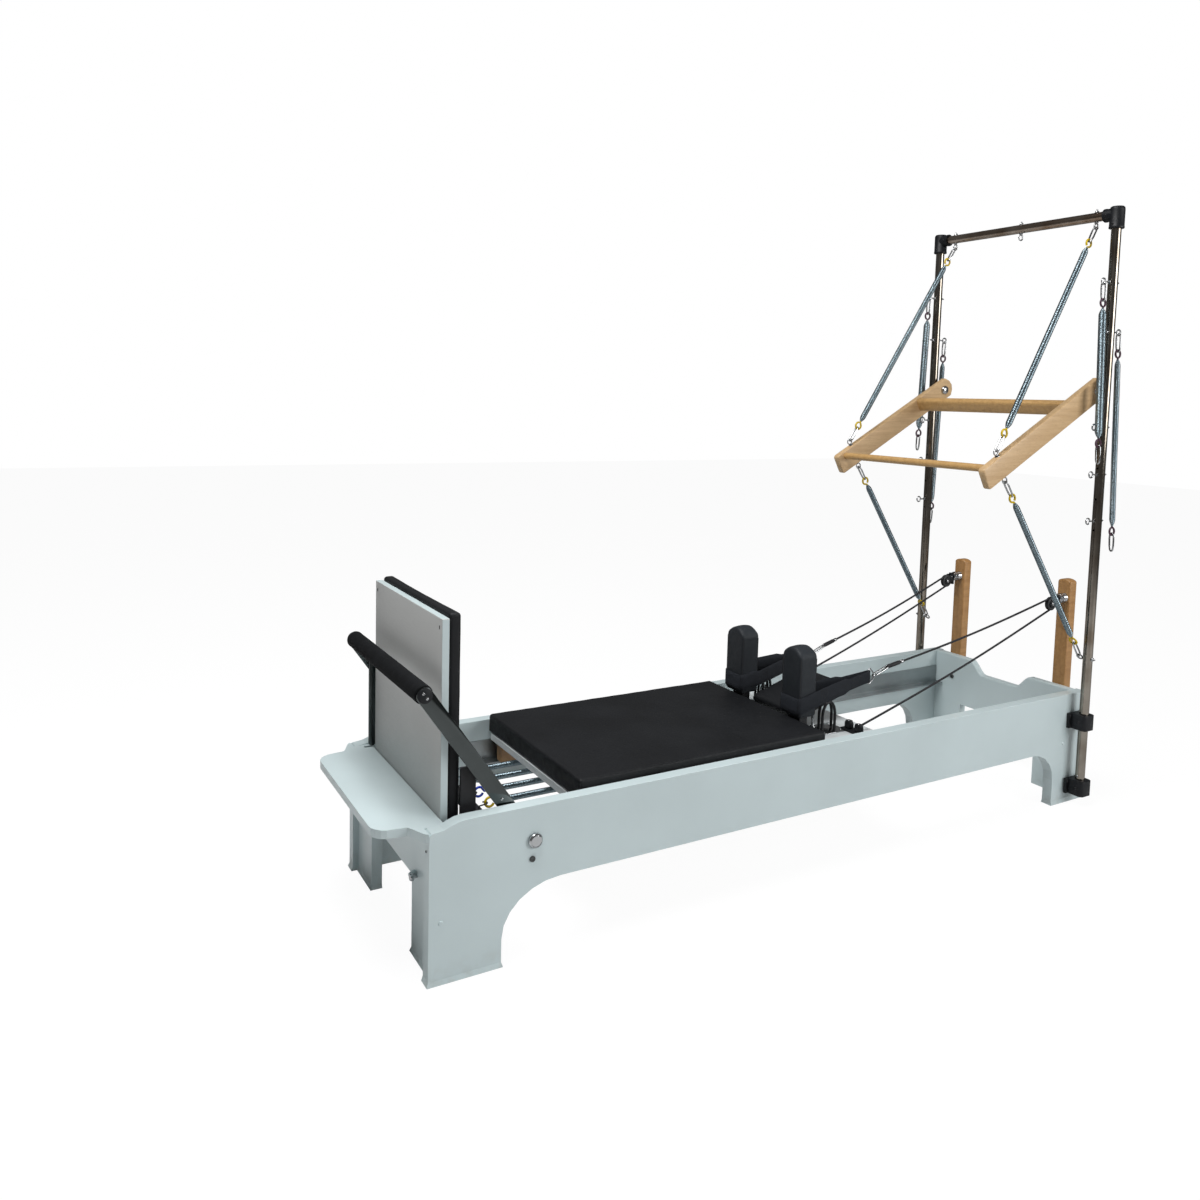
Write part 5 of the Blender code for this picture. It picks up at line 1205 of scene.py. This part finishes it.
def footbar():
    inner = ARM_FACE - 0.007
    arms = bmesh.new()
    outline = stadium((0.0, ROLLER_Z), (PIVOT_X, PIVOT_Z), 0.020, 20)
    for side in (-1, 1):
        add_plate(arms, outline, "XZ", *span(side, ARM_FACE, inner), 0.0009)
    finish("footbar_arms", arms, FLAT_STEEL, "footbar", "polished_flat_bar", 40, ("footbar_frame",))
    tube = bmesh.new()
    add_turned(tube, [(0.0125, -0.2955), (0.0150, -0.2955), (0.0150, 0.2955), (0.0125, 0.2955)], (0, 0, ROLLER_Z),
               (0, 1, 0), 40)
    for side in (-1, 1):
        out = RAIL_FACE - inner
        add_capped(tube, [(0.0060, 0.001), (0.0060, out), (0.0185, out), (0.0190, out + 0.001),
                          (0.0190, out + 0.006), (0.0176, out + 0.0090), (0.0142, out + 0.0112),
                          (0.0133, out + 0.0104)], (PIVOT_X, side * inner, PIVOT_Z), (0, side, 0), 48)
        add_capped(tube, [(0.0120, 0.0), (0.0120, 0.0030), (0.0104, 0.0046)],
                   (PIVOT_X, side * (inner - 0.0002), PIVOT_Z), (0, -side, 0), 32)
        add_screw(tube, (0.200, side * ARM_FACE, 0.4032), (0, side, 0), 0.0040)
        for rise in (-1, 1):
            spot = (0.0048 * rise, side * 0.3008, ROLLER_Z - 0.0065 * rise)
            add_screw(tube, spot, (0, side, 0), 0.0036)
    finish("footbar_tube_and_bolts", tube, CHROME, "footbar", "polished_flat_bar", 40)
    caps = bmesh.new()
    for side in (-1, 1):
        add_capped(caps, [(0.0178, 0.0), (0.0186, 0.0010), (0.0180, 0.0034), (0.0164, 0.0044)],
                   (0.0, side * ARM_FACE, ROLLER_Z), (0, side, 0), 40)
    finish("footbar_end_caps", caps, BLACK_NYLON, "footbar", "black_nylon")
    end = inner - 0.0003
    sleeve = bmesh.new()
    profile = [(0.0154, -end), (0.0205, -end), (0.0226, 0.0012 - end), (0.0234, 0.0040 - end)]
    profile += [(0.0234 - 0.0003 * abs(math.sin(n * 1.7)), -end + 0.02 + n * (2 * end - 0.04) / 30)
                for n in range(31)]
    profile += [(0.0234, end - 0.0040), (0.0226, end - 0.0012), (0.0205, end), (0.0154, end)]
    add_turned(sleeve, profile, (0, 0, ROLLER_Z), (0, 1, 0), 48)
    grip = finish("footbar_grip", sleeve, FOAM, "footbar", "black_foam", 50, ("footbar_foam",))
    prop = bmesh.new()
    x, top, foot = 0.0485, 0.61892, PLATFORM_TOP + 0.0112
    add_plate(prop, stadium((x, top), (x, foot), 0.010, 16), "XZ", 0.2800, 0.2860, 0.0008)
    add_capped(prop, [(0.0040, 0.0), (0.0040, 0.0145)], (x, 0.2820, top), (0, 1, 0), 24)
    add_turned(prop, [(0.0, 0.0), (0.0066, 0.0), (0.0058, 0.0022), (0.0, 0.0026)], (x, 0.2802, top), (0, -1, 0), 24)
    finish("footbar_prop", prop, FLAT_STEEL, "footbar_strut", "polished_flat_bar", 40, ("footbar_strut",))


def cut(piece, bm):
    """Cuts shapes out of a finished piece for good."""
    cutter = placed("cutter", bm)
    modifier = piece.modifiers.new("holes", "BOOLEAN")
    modifier.operation = "DIFFERENCE"
    modifier.solver = "EXACT"
    modifier.object = cutter
    seen = piece.evaluated_get(bpy.context.evaluated_depsgraph_get())
    result = bpy.data.meshes.new_from_object(seen)
    piece.modifiers.clear()
    piece.data = result
    shade(result, 40)
    bpy.data.objects.remove(cutter)


def tower():
    end = POST_Y - 0.0215
    inner = TUBE - 0.002
    for word, side in SIDES:
        y = side * POST_Y
        pipe = bmesh.new()
        add_turned(pipe, [(inner, 0.0), (TUBE - 0.0005, 0.0), (TUBE, 0.0005), (TUBE, 1.980), (inner, 1.980)],
                   (POST_X, y, 0.040), (0, 0, 1), 56)
        post = finish(word + "_post_tube", pipe, TUBE_STEEL, "frame", "stainless_steel", 40, (word + "_tower_post",))
        holes = bmesh.new()
        for n in range(4):
            add_capped(holes, [(0.0036, 0.0), (0.0036, 0.05)],
                       (POST_X - 0.025, y, 1.243 - 0.0535 + 0.107 * (n - 2)), (1, 0, 0), 20)
        add_capped(holes, [(0.0064, 0.0), (0.0064, 0.02)], (POST_X, y - side * 0.026, PUSH_Z), (0, side, 0), 24)
        cut(post, holes)
        bolts = bmesh.new()
        for z, way in BOLTS:
            add_eye_bolt(bolts, hanging_eye(side, z, way), (-way, 0, 0), (0, 0, 1), LONG_STAND, 0.016)
        low = low_eye(side)
        add_eye_bolt(bolts, low, (0, side, 0), push_eye(side, -1) - low)
        add_screw(bolts, (POST_X - TUBE, y, 0.104), (-1, 0, 0), 0.0030)
        finish(word + "_post_eyes", bolts, CHROME, "frame", "stainless_steel", 50)
        corner = bmesh.new()
        add_turned(corner, [(0.0, 0.0212), (0.0166, 0.0212), (0.0166, 0.0), (0.0235, 0.0), (0.0245, 0.0015),
                            (0.0245, 0.0070), (0.0238, 0.0080), (0.0238, 0.0640), (0.0225, 0.0700), (0.0190, 0.0732),
                            (0.0, 0.0740)], (POST_X, y, CROSSBAR_Z - 0.048), (0, 0, 1), 48)
        add_capped(corner, [(0.0218, 0.0), (0.0218, 0.0350), (0.0228, 0.0360), (0.0228, 0.0425),
                            (0.0218, 0.0435), (0.0165, 0.0435), (0.0165, 0.0213)],
                   (POST_X, y, CROSSBAR_Z), (0, -side, 0), 48)
        finish(word + "_elbow_fitting", corner, BLACK_NYLON, "frame", "black_nylon", 40, (word + "_tower_elbow",))
        grub = bmesh.new()
        add_screw(grub, (POST_X - 0.0238, y, CROSSBAR_Z - 0.034), (-1, 0, 0), 0.0036)
        add_screw(grub, (POST_X - 0.0218, y - side * 0.031, CROSSBAR_Z), (-1, 0, 0), 0.0036)
        finish(word + "_elbow_screws", grub, DARK_STEEL, "frame", "dark_steel", 40)
        for place, z in (("lower", 0.032), ("upper", 0.266)):
            clamp(f"{word}_{place}_clamp", side, z)
    pipe = bmesh.new()
    add_turned(pipe, [(inner, 0.0), (TUBE, 0.0), (TUBE, 2 * end), (inner, 2 * end)], (POST_X, -end, CROSSBAR_Z),
               (0, 1, 0), 56)
    finish("crossbar_tube", pipe, BAR_STEEL, "frame", "stainless_steel", 40, ("tower_crossbar",))
    bolts = bmesh.new()
    for eye in (high_eye(-1), high_eye(0), high_eye(1)):
        add_eye_bolt(bolts, eye, (0, 0, 1), (1, 0, 0))
    finish("crossbar_eyes", bolts, CHROME, "frame", "stainless_steel", 50)


def clamp(name, side, z):
    face = RAIL_FACE + 0.0003 + (0.004 if z < 0.1 else 0.0)
    half = [(0.041, 0.0), (0.041, 0.010), (0.029, 0.010), (0.029, 0.050), (0.0255, 0.0575), (0.019, 0.0615)]
    outline = [(POST_X - x, side * (face + y)) for x, y in half]
    outline += [(POST_X + x, side * (face + y)) for x, y in reversed(half)]
    block = bmesh.new()
    add_plate(block, outline, "XY", z + 0.005, z + 0.059, 0.0016)
    piece = finish(name + "_block", block, BLACK_NYLON, "frame", "black_nylon", 35, (name,))
    bore = bmesh.new()
    add_capped(bore, [(TUBE + 0.0006, 0.0), (TUBE + 0.0006, 0.1)],
               (POST_X, side * POST_Y, z - 0.02), (0, 0, 1), 48)
    cut(piece, bore)
    # The bolts are dark steel, and their darkness is partly painted shade: the front bolt's dark head stands for the
    # shaded recess it sits in.
    bolts = bmesh.new()
    for way in (-1, 1):
        for rise in (0.016, 0.048):
            add_screw(bolts, (POST_X + way * 0.0350, side * (face + 0.010), z + rise), (0, side, 0), 0.0040)
    add_screw(bolts, (POST_X - 0.0290, side * (face + 0.038), z + 0.032), (-1, 0, 0), 0.0046)
    finish(name + "_bolts", bolts, DARK_STEEL, "frame", "dark_steel", 40)


def push_bar():
    half = PUSH_HALF
    inner_y = PUSH_Y - PUSH_THICK
    arms = bmesh.new()
    outline = [(0.616 - 0.010 + 0.010 * math.sin(math.radians(t)), half - 0.010 + 0.010 * math.cos(math.radians(t)))
               for t in (0, 30, 60, 90)]
    outline += [(a, -b) for a, b in reversed(outline)]
    outline += [(-0.028, -half), (-0.044, -0.020), (-0.050, 0.0), (-0.044, 0.020), (-0.028, half)]
    for side in (-1, 1):
        add_plate(arms, [along_arm(a, b) for a, b in outline], "XZ", *span(side, inner_y, PUSH_Y), 0.0042, 4)
    finish("push_bar_arms_wood", arms, WOOD_ARM, "push_bar", "beech", 40, ("push_bar",))
    cross = bmesh.new()
    section = [(0.015 * sx * abs(math.cos(a)) ** 0.5, 0.025 * sz * abs(math.sin(a)) ** 0.5)
               for a, sx, sz in ((math.tau * n / 32, math.copysign(1, math.cos(math.tau * n / 32)),
                                  math.copysign(1, math.sin(math.tau * n / 32))) for n in range(32))]
    add_plate(cross, [along_arm(0.143 + a, 0.011 + b) for a, b in section], "XZ", -inner_y - 0.004, inner_y + 0.004)
    x, z = along_arm(0.576, 0.019)
    add_capped(cross, [(0.0125, 0.0), (0.0125, 2 * inner_y + 0.01)], (x, -inner_y - 0.005, z), (0, 1, 0), 40)
    finish("push_bar_crossbar_and_dowel", cross, WOOD_Y, "push_bar", "beech", 50)
    bolts = bmesh.new()
    for side in (-1, 1):
        for way in (-1, 1):
            ring = push_eye(side, way)
            down = (push_eye(side, -way) - ring).normalized()
            add_wire(bolts, ring_points(ring, down, down.cross((0, 1, 0)), RING, 0, 350, 28), RING_WIRE, closed=True)
            add_wire(bolts, [ring + down * (RING + 0.0006), ring + down * (STAND + 0.004)], 0.0028)
            add_capped(bolts, [(0.0068, 0.0), (0.0076, 0.0012), (0.0076, 0.0026)],
                       ring + down * (STAND - 0.0026), down, 24)
        add_turned(bolts, [(0.0, 0.0495), (0.0060, 0.0495), (0.0060, 0.001), (0.0150, 0.001), (0.0165, 0.0002),
                           (0.0170, -0.004), (0.0150, -0.0090), (0.0110, -0.0118), (0.0, -0.0125)],
                   (POST_X, side * inner_y, PUSH_Z), (0, side, 0), 40)
        add_capped(bolts, [(0.0125, 0.0), (0.0118, 0.0012)],
                   (POST_X, side * (PUSH_Y - 0.0002), PUSH_Z), (0, side, 0), 32)
    finish("push_bar_bolts", bolts, CHROME, "push_bar", "stainless_steel", 50)


bed()
pads()
straps()
ropes()
pulleys()
cleats()
carriage_springs()
footbar()
tower()
push_bar()
push_springs()
hanging_springs()
